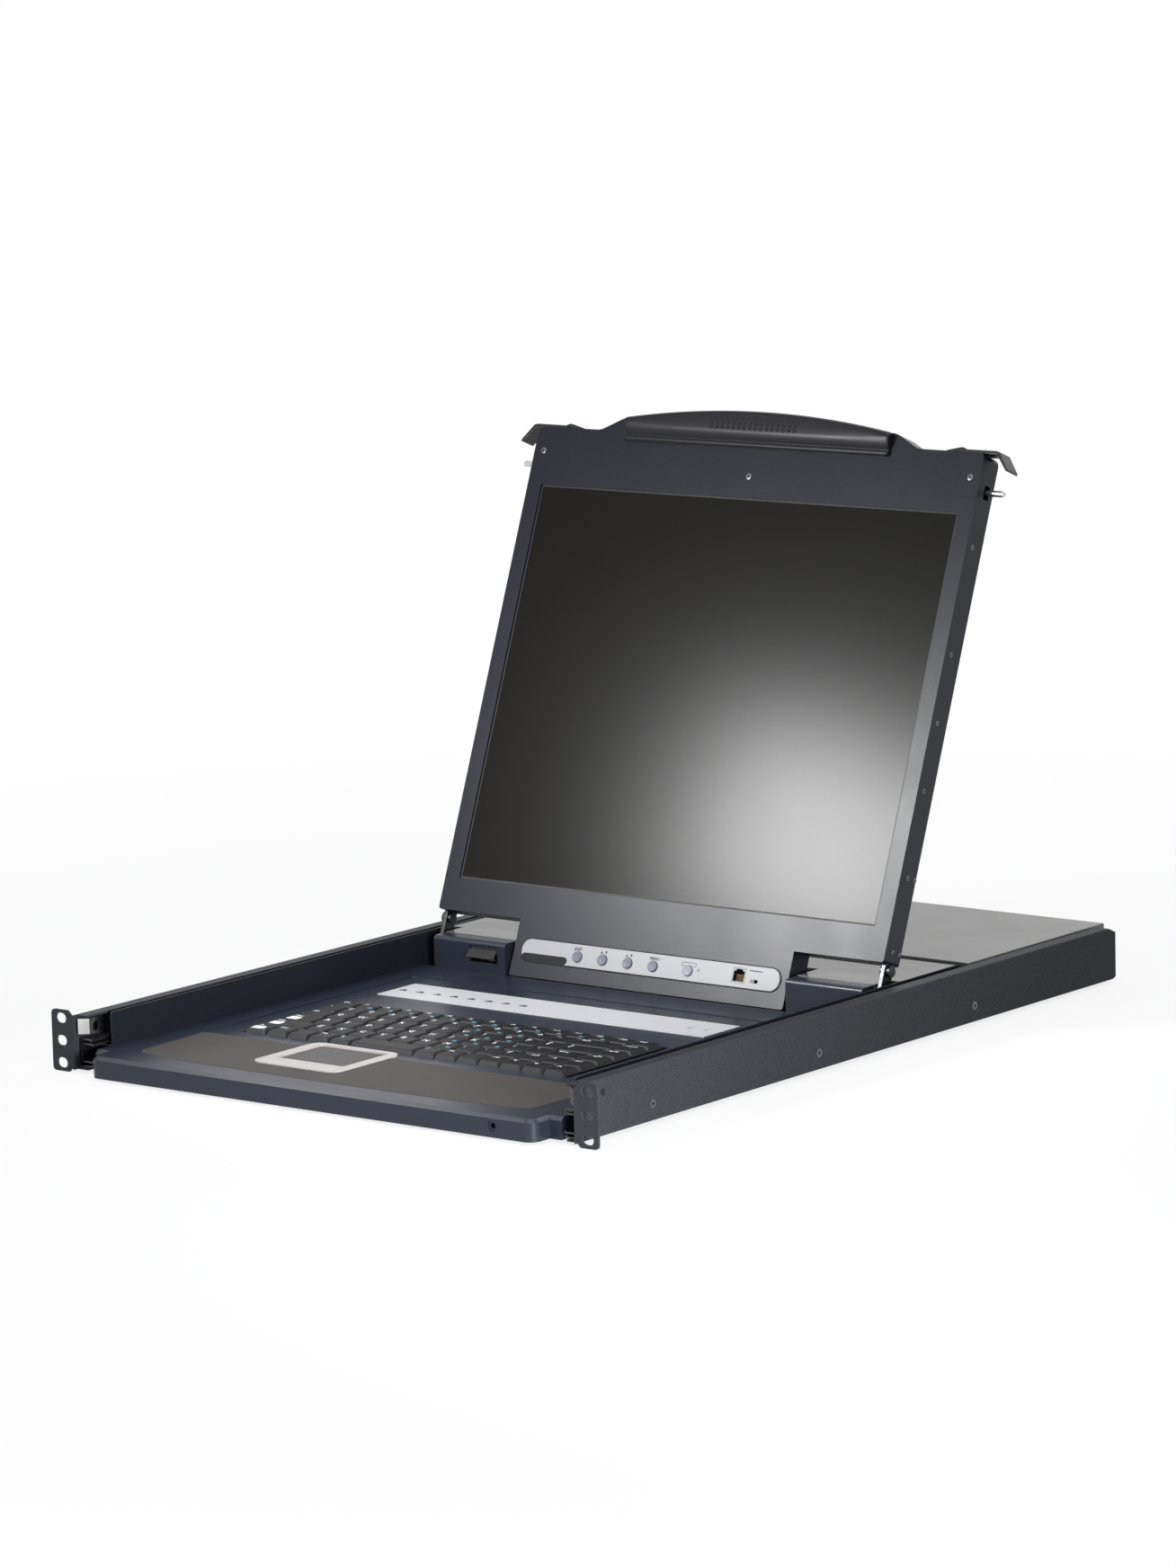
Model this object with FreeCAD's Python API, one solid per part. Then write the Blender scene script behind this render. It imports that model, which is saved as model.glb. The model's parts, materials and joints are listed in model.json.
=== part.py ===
import FreeCAD, Part
import math
import os

# One-unit rack console drawer: a screen lid and a keyboard tray that slide out of two rack rails.
# Frame: X across the rack, Y towards the rear, Z up. The origin is the centre of the bolt pattern
# of the two ears, on the ears' rear (mounting) face. All lengths are millimetres.

# ---------------------------------------------------------------- rack ears and rails
HOLE_SPACING = 465.1          # between the columns of rack holes
HOLE_PITCH = 15.875           # between the holes of one column
EAR_SPAN = 482.6              # over both ears
EAR_HEIGHT = 43.6
EAR_THICKNESS = 2.0
EAR_CORNER = 3.0
EAR_CHAMFER = 5.0
SLOT_LENGTH = 9.8
SLOT_WIDTH = 7.4
RAIL_OUTER = 223.0            # half the width over the rails
RAIL_WALL = 1.5
RAIL_FLANGE = 11.0
RAIL_TOP = 18.8
RAIL_BOTTOM = -20.0
RAIL_REAR = 641.4
RAIL_CHAMFER_RUN = 8.6
RAIL_CHAMFER_DROP = 3.8
FLANGE_START = 2.0
SCREW_FIRST = 81.3            # side screws that hold the slides
SCREW_PITCH = 188.8
SCREW_COUNT = 3
SCREW_RADIUS = 1.5
SCREW_HEAD_RADIUS = 3.1
SCREW_PLAY = 0.1
ROUND_SIDES = 12              # faces round a small bar or hole

# ---------------------------------------------------------------- ball slides
SLIDE_CENTRE = -8.2
SLIDE_FRONT = 4.0
SLIDE_LENGTH = 460.0
SLIDE_SPACE = 15.3            # from the rail's web to the drawer's side wall
OUTER_HEIGHT = 20.4
OUTER_WALL = 1.2
MIDDLE_WALL = 1.0
INNER_WALL = 1.0
BALL_DIAMETER = 2.0
BALL_PLAY = 0.05
BALL_TIP = 0.45               # width of a ball's blunt tips, as a share of its own
WEB_GAP = 0.7                 # between the webs of the outer and the middle member
FLANGE_GAP = 1.2              # from a flange's edge to the next member's web
LIP_HEIGHT = 0.9
CAGE_SHEET = 0.3
CAGE_FRONT = 110.0
CAGE_LENGTH = 240.0
CAGE_BALLS = 3

# ---------------------------------------------------------------- drawer body
PAN_BOTTOM = -20.3
PAN_SHEET = 1.2
WALL_TOP = 19.2
WALL_SHEET = 1.2
WALL_FRONT = 20.0
WALL_FLANGE = 10.0
WALL_CORNER = 3.0
PAN_GAP = 0.3                 # from the cover's skirt to the wide part of the pan
DRAWER_REAR = 464.0
TONGUE_PLAY = 0.3             # of the pan's front tongue inside the cover's skirt
WALL_PLAY = 0.2               # of the cover in front of the side walls
MOULD_WALL = 2.2
LIP_FRONT = -14.0
LIP_INSET = 9.7               # of the front lip from the walls' outer faces
LIP_CORNER = 8.0
LIP_EDGE = 2.5
SHOULDER_FRONT = 4.0
SKIRT_REAR = 21.5
DECK_REAR = 361.7
DECK_NOTCH = 2.2              # deeper in the middle, where the chin swings
DECK_SIDE_GAP = 0.2
INDICATOR_X = 162.0           # small round window in the front lip
INDICATOR_RADIUS = 2.0
RECESS_HALF = 183.0
RECESS_REAR = 325.0
RECESS_DEPTH = 0.8
RECESS_CORNER = 6.0

# ---------------------------------------------------------------- palm rest and touchpad
PALM_LEFT = -181.0
PALM_RIGHT = 177.0
PALM_FRONT = 5.5
PALM_SIDE_FRONT = 13.0
PALM_REAR = 89.5
PALM_SHEET = 0.8
PALM_PROUD = 0.2
PALM_PLAY = 0.2               # around the touchpad's surround
PALM_CORNER = 14.0
PALM_SIDE_LEAN = 4.0          # of its side edges, towards the front
PALM_BOW_RUN = 60.0           # from its sides to where the front edge bows
PALM_BOW = 1.5
PAD_X = -48.5                 # middle of the touchpad
PAD_WIDTH = 61.0
PAD_FRONT = 48.0
PAD_REAR = 98.0
PAD_SINK = 1.4
PAD_CORNER = 2.5
PAD_PLAY = 0.1
PAD_SKIRT = 1.5               # of the surround below the deck
CARRIER_SHEET = 1.6
CARRIER_MARGIN = 4.8          # of the carrier past the pad's sides
CARRIER_REAR_MARGIN = 1.0
SURROUND_WIDTH = 77.0
SURROUND_FRONT = 30.0
SURROUND_REAR = 102.5
SURROUND_PROUD = 1.0
SURROUND_CORNER = 9.0
SURROUND_RIM = 2.2            # how far the rim rests on the deck around its opening
SURROUND_PLAY = 0.4
BUTTON_DEPTH = 14.0
BUTTON_BAR = 1.0              # of the surround between the pad and its buttons
BUTTON_MARGIN = 4.2           # of the buttons past the pad's sides
PAD_BUTTON_HEIGHT = 2.6
PAD_BUTTON_EDGE = 0.5
PAD_BUTTON_PROUD = 0.1
PAD_BUTTON_PLAY = 0.3

# ---------------------------------------------------------------- keyboard
KEY_PITCH = 19.1
KEY_ROW_DEPTH = 19.05
FUNCTION_ROW_DEPTH = 16.0
KEY_LEFT = -159.5
KEY_FRONT = 107.5
KEY_GAP = 0.9
KEY_INSET_SIDE = 1.9
KEY_INSET_END = 1.5
KEY_CLEARANCE = 0.7           # from the key tops up to the closed lid
KEY_HEIGHT = 3.9
KEY_RISE = 2.5                # of the key tops above the deck
KEY_TRAVEL = 2.0
KEY_STEM = 3.0
KEY_STEM_PLAY = 0.3
KEY_STOP = 0.1
KEY_GUIDE = 3.6
KEY_ROWS = [
    [1, 1, 1, 1, 1, 3, 1, 1, 1, 1, 1, 1, 1],
    [2, 1, 1, 1, 1, 1, 1, 1, 1, 1, 1, 1, 1, 1],
    [1.5, 1, 1, 1, 1, 1, 1, 1, 1, 1, 1, 1, 1.5, 1],
    [1.25, 1, 1, 1, 1, 1, 1, 1, 1, 1, 1, 1, 1.75, 1],
    [1, 1, 1, 1, 1, 1, 1, 1, 1, 1, 1, 1, 2, 1],
    [1, 1, 1, 1, 1, 1, 1, 1, 1, 1, 1, 1, 1, 1, 1],
]
KEY_COLUMNS = 15
SPACE_BAR = 3                 # the key unit width that marks the space bar
OPENING_MARGIN = 1.5
OPENING_RIGHT_MARGIN = 4.5
BASE_RIM = 3.0                # of the keyboard's base under the deck
BASE_PLAY = 0.5

# ---------------------------------------------------------------- status strip
STRIP_LEFT = -164.0
STRIP_RIGHT = 131.0
STRIP_FRONT = 260.0
STRIP_REAR = 303.0
STRIP_SHEET = 0.5
LIGHT_X = 104.0
LIGHT_PITCH = 14.5
LIGHT_Y = 279.5
LIGHT_RADIUS = 1.5
LIGHT_HEIGHT = 0.3

# ---------------------------------------------------------------- hinge blocks, port door, mid cover
BLOCK_FACE = 362.0
BLOCK_INNER = 127.0
BLOCK_OUTER = 194.0
BLOCK_DEPTH = 14.0
BLOCK_TOP = 18.0
BLOCK_WALL = 2.0
BLOCK_EDGE = 3.0
BLOCK_SHAFT_GAP = 2.0         # around the hinge shaft
PORT_LEFT = -160.6
PORT_RIGHT = -134.7
PORT_LOW = 2.0
DOOR_AXIS_Y = 364.4
DOOR_AXIS_Z = 12.7
DOOR_LENGTH = 9.6
DOOR_SHEET = 1.2
DOOR_PIN_RADIUS = 0.8
DOOR_PIN_REACH = 1.0
DOOR_BARREL = 0.5             # of the hinge barrel past the door's faces
DOOR_LUG = 2.0
DOOR_HEAD_GAP = 0.4
PORT_DEPTH = 3.4              # of the socket's mouth behind the doorway
PORT_REAR_GAP = 0.6
PORT_RISE = 0.8               # of the socket above the doorway's sill
PORT_POST_INSET = 2.0
DOOR_PLAY = 0.2
DOOR_OPEN = 43.6
COVER_TOP = 18.4
COVER_SHEET = 1.0
COVER_GAP = 0.3
COVER_SIDE_GAP = 0.1
COVER_FLANGE = 12.0
COVER_NOTCH_CORNER = 1.5
NOTCH_REAR = 396.0
WELL_REAR = 402.5
BOX_GAP = 7.0                 # from the drawer's rear edge to the fixed box

# ---------------------------------------------------------------- fixed rear box
BOX_SIDE_GAP = 13.0           # from the rails' webs to the box
BOX_REAR = 646.0
BOX_BOTTOM = -19.5
BOX_SHEET = 1.0
BOX_COVER_FLANGE = 10.0
BOX_COVER_LIP = 3.0           # of the cover over the panel and the cable slot
BOX_COVER_BEND = 0.9
BRACKET_TOP = 6.0
BRACKET_BOTTOM = -16.0
BRACKET_SHEET = 1.2
BRACKET_LENGTH = 40.0
BRACKET_INSET = 9.0           # of the front pair from the box's front
BRACKET_SPACING = 110.0
PORT_COUNT = 8
DSUB_PITCH = 34.5
DSUB_MARGIN = 24.5            # from the box's side to the first socket
DSUB_Z = -3.0
DSUB_WIDTH = 17.0
DSUB_HEIGHT = 8.4
DSUB_SLANT = 1.5
DSUB_LENGTH = 6.0
DSUB_BODY_DEPTH = 12.0
DSUB_BODY_MARGIN = 3.0        # of the body past its jack screws
JACK_SPACING = 25.0
JACK_RADIUS = 2.6
JACK_THREAD = 1.6
JACK_LENGTH = 4.5
PANEL_PLAY = 0.1              # of the panel's cut-outs round what passes through them
USB_OFFSET = 29.0             # from the mains switch to the console sockets
USB_WIDTH = 13.2
USB_HEIGHT = 5.8
USB_SHELL = 0.4
USB_DEPTH = 13.0
USB_TONGUE = 1.6
USB_STACK_GAP = 1.6
CABLE_SLOT_HALF = 60.0        # of the slot in the box's front that the drawer's cables pass through
CABLE_SLOT_LOW = 2.0
CABLE_SLOT_HIGH = 12.0
BOARD_TOP = -11.4
BOARD_SHEET = 1.6
BOARD_MARGIN = 4.0
BOARD_FRONT_GAP = 30.0
STANDOFF_RADIUS = 2.5
STANDOFF_INSET = 6.0
CHIP_SIZE = 20.0
CHIP_PITCH = 70.0
CHIP_HEIGHT = 2.0
SUPPLY_WIDTH = 68.0
SUPPLY_MARGIN = 6.5           # from the supply to the box's side
SUPPLY_FRONT_GAP = 12.0
SUPPLY_REAR_GAP = 45.0
TRANSFORMER_SIZE = 28.0
TRANSFORMER_HEIGHT = 22.0
CAPACITOR_RADIUS = 9.0
CAPACITOR_HEIGHT = 25.0
SINK_SHEET = 2.0
SINK_HEIGHT = 21.0
SINK_INSET = 8.0
SWITCH_OFFSET = 31.0          # from the inlet to the mains switch
SWITCH_DEPTH = 16.0
SWITCH_RIM = 1.0
SWITCH_WIDTH = 13.0
SWITCH_HEIGHT = 19.0
SWITCH_WALL = 1.2
ROCKER_TILT = 9.0
ROCKER_PIN = 1.2
ROCKER_SIDE_PLAY = 0.2
ROCKER_END_PLAY = 1.3
ROCKER_ROOT = 4.0
ROCKER_PROUD = 1.2
ROCKER_AXIS_DEPTH = 5.0
ROCKER_PIN_REACH = 0.9        # of the trunnions into the switch's frame
INLET_MARGIN = 30.5           # from the box's side to the middle of the inlet
INLET_WIDTH = 27.0
INLET_HEIGHT = 20.0
INLET_DEPTH = 20.0
INLET_WALL = 1.6
INLET_BACK = 4.0
INLET_KEY = 4.5               # of the cavity's sloping corners
INLET_FLANGE = 2.0
BLADE_SIZE = (2.0, 4.0)
BLADE_SHORT = 1.0             # of the blades' tips behind the panel
BLADES = ((-7.0, -3.5), (7.0, -3.5), (0.0, 0.5))

# ---------------------------------------------------------------- lid, in its own frame:
# X across, Y (w) towards its back and Z (v) up from the hinge axis
PIVOT_Y = 379.7
PIVOT_Z = 9.4
LID_TILT = 21.36              # backwards from upright, at rest
LID_FRONT = -11.1
LID_SEAM = 2.1
LID_BEVEL = 1.2               # of the rear shell's outer edge
SLOT_PLAY = 0.4               # of the latch and the arm in the lid's edges
PIN_SLOT = (6.4, 10.0)        # around a latch pin, across and along the lid
LID_BACK = 9.9
LID_SIDE_GAP = 3.5            # from the lid to the tray's walls
LID_BOTTOM = 23.1
LID_TOP = 394.0
LID_CORNER = 6.0
CHIN_HALF = 124.0
CHIN_BOTTOM = -19.6
CREST_FOOT = 143.5
CREST_HALF = 122.5
CREST_BEND = 16.0             # radius of the crest's two bends
CHIN_CORNER = 2.0
CREST_TOP = 404.5
BEZEL_WALL = 1.6
SIDE_WALL = 1.5
REAR_SHEET = 1.2
SCREEN_HALF = 188.5
SCREEN_BOTTOM = 47.7
SCREEN_TOP = 349.7
MODULE_MARGIN_X = 7.8
MODULE_MARGIN_V = 11.0
GLASS_DEPTH = 2.0
MODULE_DEPTH = 13.0
CONTROLLER_GAP = 1.7
CONTROLLER_HALF = 80.0
CONTROLLER_LOW = 120.0
CONTROLLER_HEIGHT = 120.0
OSD_BOARD_MARGIN = 2.0
OSD_BOARD_TOP = 14.0
OSD_POST_RADIUS = 2.0
STRIP_CHIN_LEFT = -117.0
STRIP_CHIN_RIGHT = 118.0
STRIP_CHIN_LOW = -8.3
STRIP_CHIN_HIGH = 9.7
STRIP_CHIN_SHEET = 0.8
BUTTON_XS = (-64.3, -41.3, -18.3, 4.6)
POWER_BUTTON_X = 36.1
BUTTON_V = -0.3
BUTTON_RADIUS = 4.0
BUTTON_PLAY = 0.25
BUTTON_PROUD = 1.2
BUTTON_TRAVEL = 0.8
BUTTON_FLANGE = 1.4           # of the flange past the button's cap
BUTTON_FLANGE_SHEET = 1.0
BUTTON_STEM_RADIUS = 1.5
SWITCH_CLEARANCE = 0.1
OSD_BOARD_W = -4.0
OSD_BOARD_SHEET = 1.6
JACK_LEFT = 75.6
JACK_RIGHT = 87.0
JACK_LOW = -4.3
JACK_HIGH = 6.7
JACK_PLAY = 0.1
JACK_WALL = 0.9
JACK_LATCH = 1.3              # height of the notch for the plug's latch
MODE_LEFT = 91.8
MODE_RIGHT = 98.5
MODE_LOW = -3.3
MODE_HIGH = -0.8
MODE_TRAVEL = 2.6
MODE_PLAY = 0.15
MODE_PROUD = 0.3
HANDLE_HALF = 120.0
HANDLE_LOW = 386.7
HANDLE_END = 404.2
HANDLE_TOP = 414.0
HANDLE_LIP_CLEAR = 394.7      # above this height the grip may reach down in front of the tray's lip
HANDLE_LEDGE = 2.7            # how far the grip's foot stands out of the bezel
HANDLE_BULGE = 5.9
LID_SCREW_RADIUS = 2.4
LID_SCREW_PROUD = 0.4
LID_SCREW_INSET = 8.5         # from the lid's side
LID_SCREW_DROP = 18.5         # below the lid's top
LID_SCREW_MIDDLE_DROP = 28.3

# ---------------------------------------------------------------- hinges and latches
SHAFT_RADIUS = 4.0
SHAFT_INNER = 184.0
SHAFT_HEAD_RADIUS = 6.0
SHAFT_COLLAR_RADIUS = 5.0
ARM_INNER = 197.0
ARM_SHEET = 3.0
ARM_EYE = 7.6
ARM_NECK = 5.5                # half the neck's width
SHAFT_FIT = 0.01
KNUCKLE_INNER_GAP = 0.8
KNUCKLE_OUTER_GAP = 2.0
ARM_TOP = 103.0
ARM_SLOT = (-6.5, 8.5)        # of the lid's lower edge, around the arms
BRACKET_HINGE_INNER = 189.0
BRACKET_HINGE_SHEET = 3.0
BRACKET_HINGE_RADIUS = 7.4
BRACKET_FOOT = 22.0
BRACKET_FOOT_REAR = 14.0
GUSSET_LENGTH = 14.0
HINGE_PLAY = 0.05
KNUCKLE_RADIUS = 4.2
KNUCKLE_V = 18.6
LATCH_TAB_X = 172.0
LATCH_TAB_WIDTH = 20.0
LATCH_TAB_TOP = 398.7
LATCH_TRAVEL = 8.0
LATCH_PIN_V = 367.2
LATCH_PIN_W = 0.4
LATCH_PIN_RADIUS = 2.4
LATCH_PIN_END = 217.2
LATCH_SHEET = 3.0
HOOK_TIP = 220.0
HOOK_LOW = 382.5
HOOK_W = 3.9
HOOK_THICKNESS = 5.0
HOOK_WIDTH = 3.0
LATCH_BAR_HALF = 4.2          # half the height of the bar inside the lid
LATCH_BAR_INSET = 3.0         # of the bar's end from the lid's side
LATCH_NECK_INSET = 2.0
TAB_GAP = 0.4                 # between the tab and the lid's top edge
THUMB_FRONT = 2.0             # of the tab in front of the bar
SPRING_SHEET = 0.4
SPRING_FOLD = 4.0
SPRING_HALF = 3.5
PIN_NOSE = 1.0
PIN_NOSE_TAPER = 0.8
CATCH_SHEET = 0.8
CATCH_FACE = 212.8
CATCH_HOLE_RADIUS = 3.6
CATCH_LOW = 5.2
CATCH_HIGH = 16.2
CATCH_FOOT = 12.0             # length of the leaf that lies on the rail
CATCH_FLAT = 13.0             # length of the leaf around its hole
CATCH_LEAD = (5.9, 4.7)       # sideways and forwards run of its bent lead-in
RIVET_Y = 27.5
RIVET_RADIUS = 1.6

# ---------------------------------------------------------------- sizes that follow from the ones above
RAIL_INNER = RAIL_OUTER - RAIL_WALL
BOX_HALF = RAIL_INNER - BOX_SIDE_GAP
DSUB_FIRST = DSUB_MARGIN - BOX_HALF
INLET_X = BOX_HALF - INLET_MARGIN
SWITCH_X = INLET_X - SWITCH_OFFSET
USB_X = SWITCH_X - USB_OFFSET
SUPPLY_RIGHT = BOX_HALF - SUPPLY_MARGIN
SUPPLY_LEFT = SUPPLY_RIGHT - SUPPLY_WIDTH
DRAWER_OUTER = RAIL_INNER - SLIDE_SPACE
DRAWER_INNER = DRAWER_OUTER - WALL_SHEET
LID_HALF = DRAWER_INNER - LID_SIDE_GAP
PAN_TOP = PAN_BOTTOM + PAN_SHEET
MIDDLE_HEIGHT = OUTER_HEIGHT - 2 * (OUTER_WALL + BALL_DIAMETER + 2 * BALL_PLAY)
INNER_HEIGHT = MIDDLE_HEIGHT - 2 * (MIDDLE_WALL + BALL_DIAMETER + 2 * BALL_PLAY)
OUTER_WEB = RAIL_INNER - OUTER_WALL
MIDDLE_WEB = OUTER_WEB - WEB_GAP
INNER_WEB = DRAWER_OUTER + INNER_WALL
KEY_TOP = PIVOT_Z + LID_FRONT - KEY_CLEARANCE
KEY_BOTTOM = KEY_TOP - KEY_HEIGHT
DECK_TOP = KEY_TOP - KEY_RISE
DECK_UNDER = DECK_TOP - MOULD_WALL
GUIDE_TOP = KEY_BOTTOM - KEY_TRAVEL - KEY_STOP
KEY_REAR = KEY_FRONT + (len(KEY_ROWS) - 1) * KEY_ROW_DEPTH + FUNCTION_ROW_DEPTH
KEY_RIGHT = KEY_LEFT + KEY_COLUMNS * KEY_PITCH
BOX_FRONT = DRAWER_REAR + BOX_GAP
BOX_TOP = COVER_TOP
CATCH_Y = PIVOT_Y - LATCH_PIN_V
CATCH_Z = PIVOT_Z + LATCH_PIN_W
GLASS_FRONT = LID_FRONT + BEZEL_WALL
MODULE_BACK = GLASS_FRONT + MODULE_DEPTH
REACH = 1000.0                # longer than any cut has to be
CUT = 1.0                     # by how much a cut runs past a face

AXES = {"x": FreeCAD.Vector(1, 0, 0), "y": FreeCAD.Vector(0, 1, 0), "z": FreeCAD.Vector(0, 0, 1)}


# ---------------------------------------------------------------- shape helpers
def point(axis, along, a, b):
    """Point at a distance along an axis; a and b are its other two coordinates, in X, Y, Z order."""
    if axis == "x":
        return FreeCAD.Vector(along, a, b)
    if axis == "y":
        return FreeCAD.Vector(a, along, b)
    return FreeCAD.Vector(a, b, along)


def block(x, y, z):
    """Box between three (low, high) pairs."""
    corner = FreeCAD.Vector(x[0], y[0], z[0])
    return Part.makeBox(x[1] - x[0], y[1] - y[0], z[1] - z[0], corner)


def cylinder(axis, span, centre, radius):
    """Cylinder along an axis, over a (low, high) span."""
    return Part.makeCylinder(radius, span[1] - span[0], point(axis, span[0], *centre), AXES[axis])


def outline(axis, along, points, radii=0.0):
    """Closed wire across an axis; each corner gets a tangent arc of its radius."""
    corners = [point(axis, along, a, b) for a, b in points]
    if not isinstance(radii, (list, tuple)):
        radii = [radii] * len(corners)
    starts = []
    ends = []
    arcs = []
    for index, corner in enumerate(corners):
        before = (corners[index - 1] - corner).normalize()
        after = (corners[(index + 1) % len(corners)] - corner).normalize()
        radius = radii[index]
        if radius <= 0:
            starts.append(corner)
            ends.append(corner)
            arcs.append(None)
            continue
        half = before.getAngle(after) / 2
        tangent = radius / math.tan(half)
        middle = corner + (before + after).normalize() * (radius / math.sin(half) - radius)
        starts.append(corner + before * tangent)
        ends.append(corner + after * tangent)
        arcs.append(Part.Arc(starts[-1], middle, ends[-1]).toShape())
    edges = []
    for index in range(len(corners)):
        if arcs[index] is not None:
            edges.append(arcs[index])
        following = starts[(index + 1) % len(corners)]
        if (following - ends[index]).Length > 1e-6:
            edges.append(Part.makeLine(ends[index], following))
    return Part.Wire(edges)


def prism(axis, points, span, radii=0.0):
    """Solid from an outline across an axis, drawn out over a (low, high) span."""
    face = Part.Face(outline(axis, span[0], points, radii))
    return face.extrude(AXES[axis] * (span[1] - span[0]))


def rectangle(a, b):
    """Corner points of a rectangle from two (low, high) pairs."""
    return [(a[0], b[0]), (a[1], b[0]), (a[1], b[1]), (a[0], b[1])]


def around(centre, size):
    """(low, high) pair of a size centred on a place."""
    return (centre - size / 2, centre + size / 2)


def grown(span, by):
    """(low, high) pair moved outwards at both ends."""
    return (span[0] - by, span[1] + by)


def frustum(x, y, z, inset_x, inset_y):
    """Box whose top face is drawn in by the two insets; its sides stay flat."""
    wedge = Part.makeWedge(
        x[0], z[0], -y[1], inset_y - y[1], x[0] + inset_x,
        x[1], z[1], -y[0], -y[0] - inset_y, x[1] - inset_x,
    )
    wedge.rotate(FreeCAD.Vector(0, 0, 0), AXES["x"], 90)
    return wedge


def flat_face(corners):
    """Face inside a closed run of straight edges."""
    return Part.Face(Part.makePolygon(corners + corners[:1]))


def tapered(axis, span, centre, start_radius, end_radius, sides=ROUND_SIDES):
    """Bar with a regular section that grows or shrinks along an axis."""
    start = [point(axis, span[0], a, b) for a, b in polygon(centre, start_radius, sides)]
    end = [point(axis, span[1], a, b) for a, b in polygon(centre, end_radius, sides)]
    faces = [flat_face(start), flat_face(end)]
    for index in range(sides):
        following = (index + 1) % sides
        faces.append(flat_face([start[index], start[following], end[following], end[index]]))
    return Part.Solid(Part.Shell(faces))


def strip(points, thickness):
    """Outline of a bent sheet: the points of one face and the same path moved left by its thickness."""
    offset = []
    for index, (a, b) in enumerate(points):
        normals = []
        for first, second in ((index - 1, index), (index, index + 1)):
            if first < 0 or second >= len(points):
                continue
            run = (points[second][0] - points[first][0], points[second][1] - points[first][1])
            length = math.hypot(*run)
            normals.append((-run[1] / length, run[0] / length))
        na = sum(normal[0] for normal in normals) / len(normals)
        nb = sum(normal[1] for normal in normals) / len(normals)
        scale = thickness / (na * na + nb * nb)
        offset.append((a + na * scale, b + nb * scale))
    return list(points) + offset[::-1]


def fuse(shapes):
    """One solid from shapes that touch or overlap."""
    return shapes[0].multiFuse(shapes[1:]).removeSplitter()


def group(shapes):
    """Separate solids kept in one node."""
    return Part.makeCompound(shapes)


def mirrored(shape):
    """The same shape on the other side of the middle plane."""
    return shape.mirror(FreeCAD.Vector(0, 0, 0), AXES["x"])


def both_sides(shape):
    """A right-hand shape and its left-hand copy."""
    return group([shape, mirrored(shape)])


def rounded(shape, radius, wanted):
    """Fillet of the edges whose bounding box passes a test."""
    edges = [edge for edge in shape.Edges if wanted(edge.BoundBox)]
    return shape.makeFillet(radius, edges)


def bevelled(shape, size, wanted):
    """Chamfer of the edges whose bounding box passes a test."""
    edges = [edge for edge in shape.Edges if wanted(edge.BoundBox)]
    return shape.makeChamfer(size, edges)


def polygon(centre, radius, sides):
    """Corner points of a regular polygon around a centre."""
    turns = [2 * math.pi * index / sides for index in range(sides)]
    return [(centre[0] + radius * math.cos(turn), centre[1] + radius * math.sin(turn)) for turn in turns]


def post(axis, span, centre, radius, sides=6):
    """Straight bar with a regular section, such as a hexagonal standoff."""
    return prism(axis, polygon(centre, radius, sides), span)


def small_round(axis, span, centre, radius):
    """Small pin or hole, nearly round."""
    return post(axis, span, centre, radius, ROUND_SIDES)


def to_lid(shape):
    """Move a shape from the lid's own frame to where the lid stands at rest."""
    placed = shape.copy()
    placed.rotate(FreeCAD.Vector(0, 0, 0), AXES["x"], -LID_TILT)
    placed.translate(FreeCAD.Vector(0, PIVOT_Y, PIVOT_Z))
    return placed


# ---------------------------------------------------------------- rails and slides
def screw_places():
    """Y of the side screws."""
    return [SCREW_FIRST + index * SCREW_PITCH for index in range(SCREW_COUNT)]


def channel(web, flange, bottom, top, wall, y, bend=0.0):
    """C-section that opens towards the middle, given by its web, flange edge, height, wall and bends."""
    points = [
        (flange, bottom), (web, bottom), (web, top), (flange, top),
        (flange, top - wall), (web - wall, top - wall), (web - wall, bottom + wall), (flange, bottom + wall),
    ]
    return prism("y", points, y, [0, bend, bend, 0, 0, 0, 0, 0])


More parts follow.
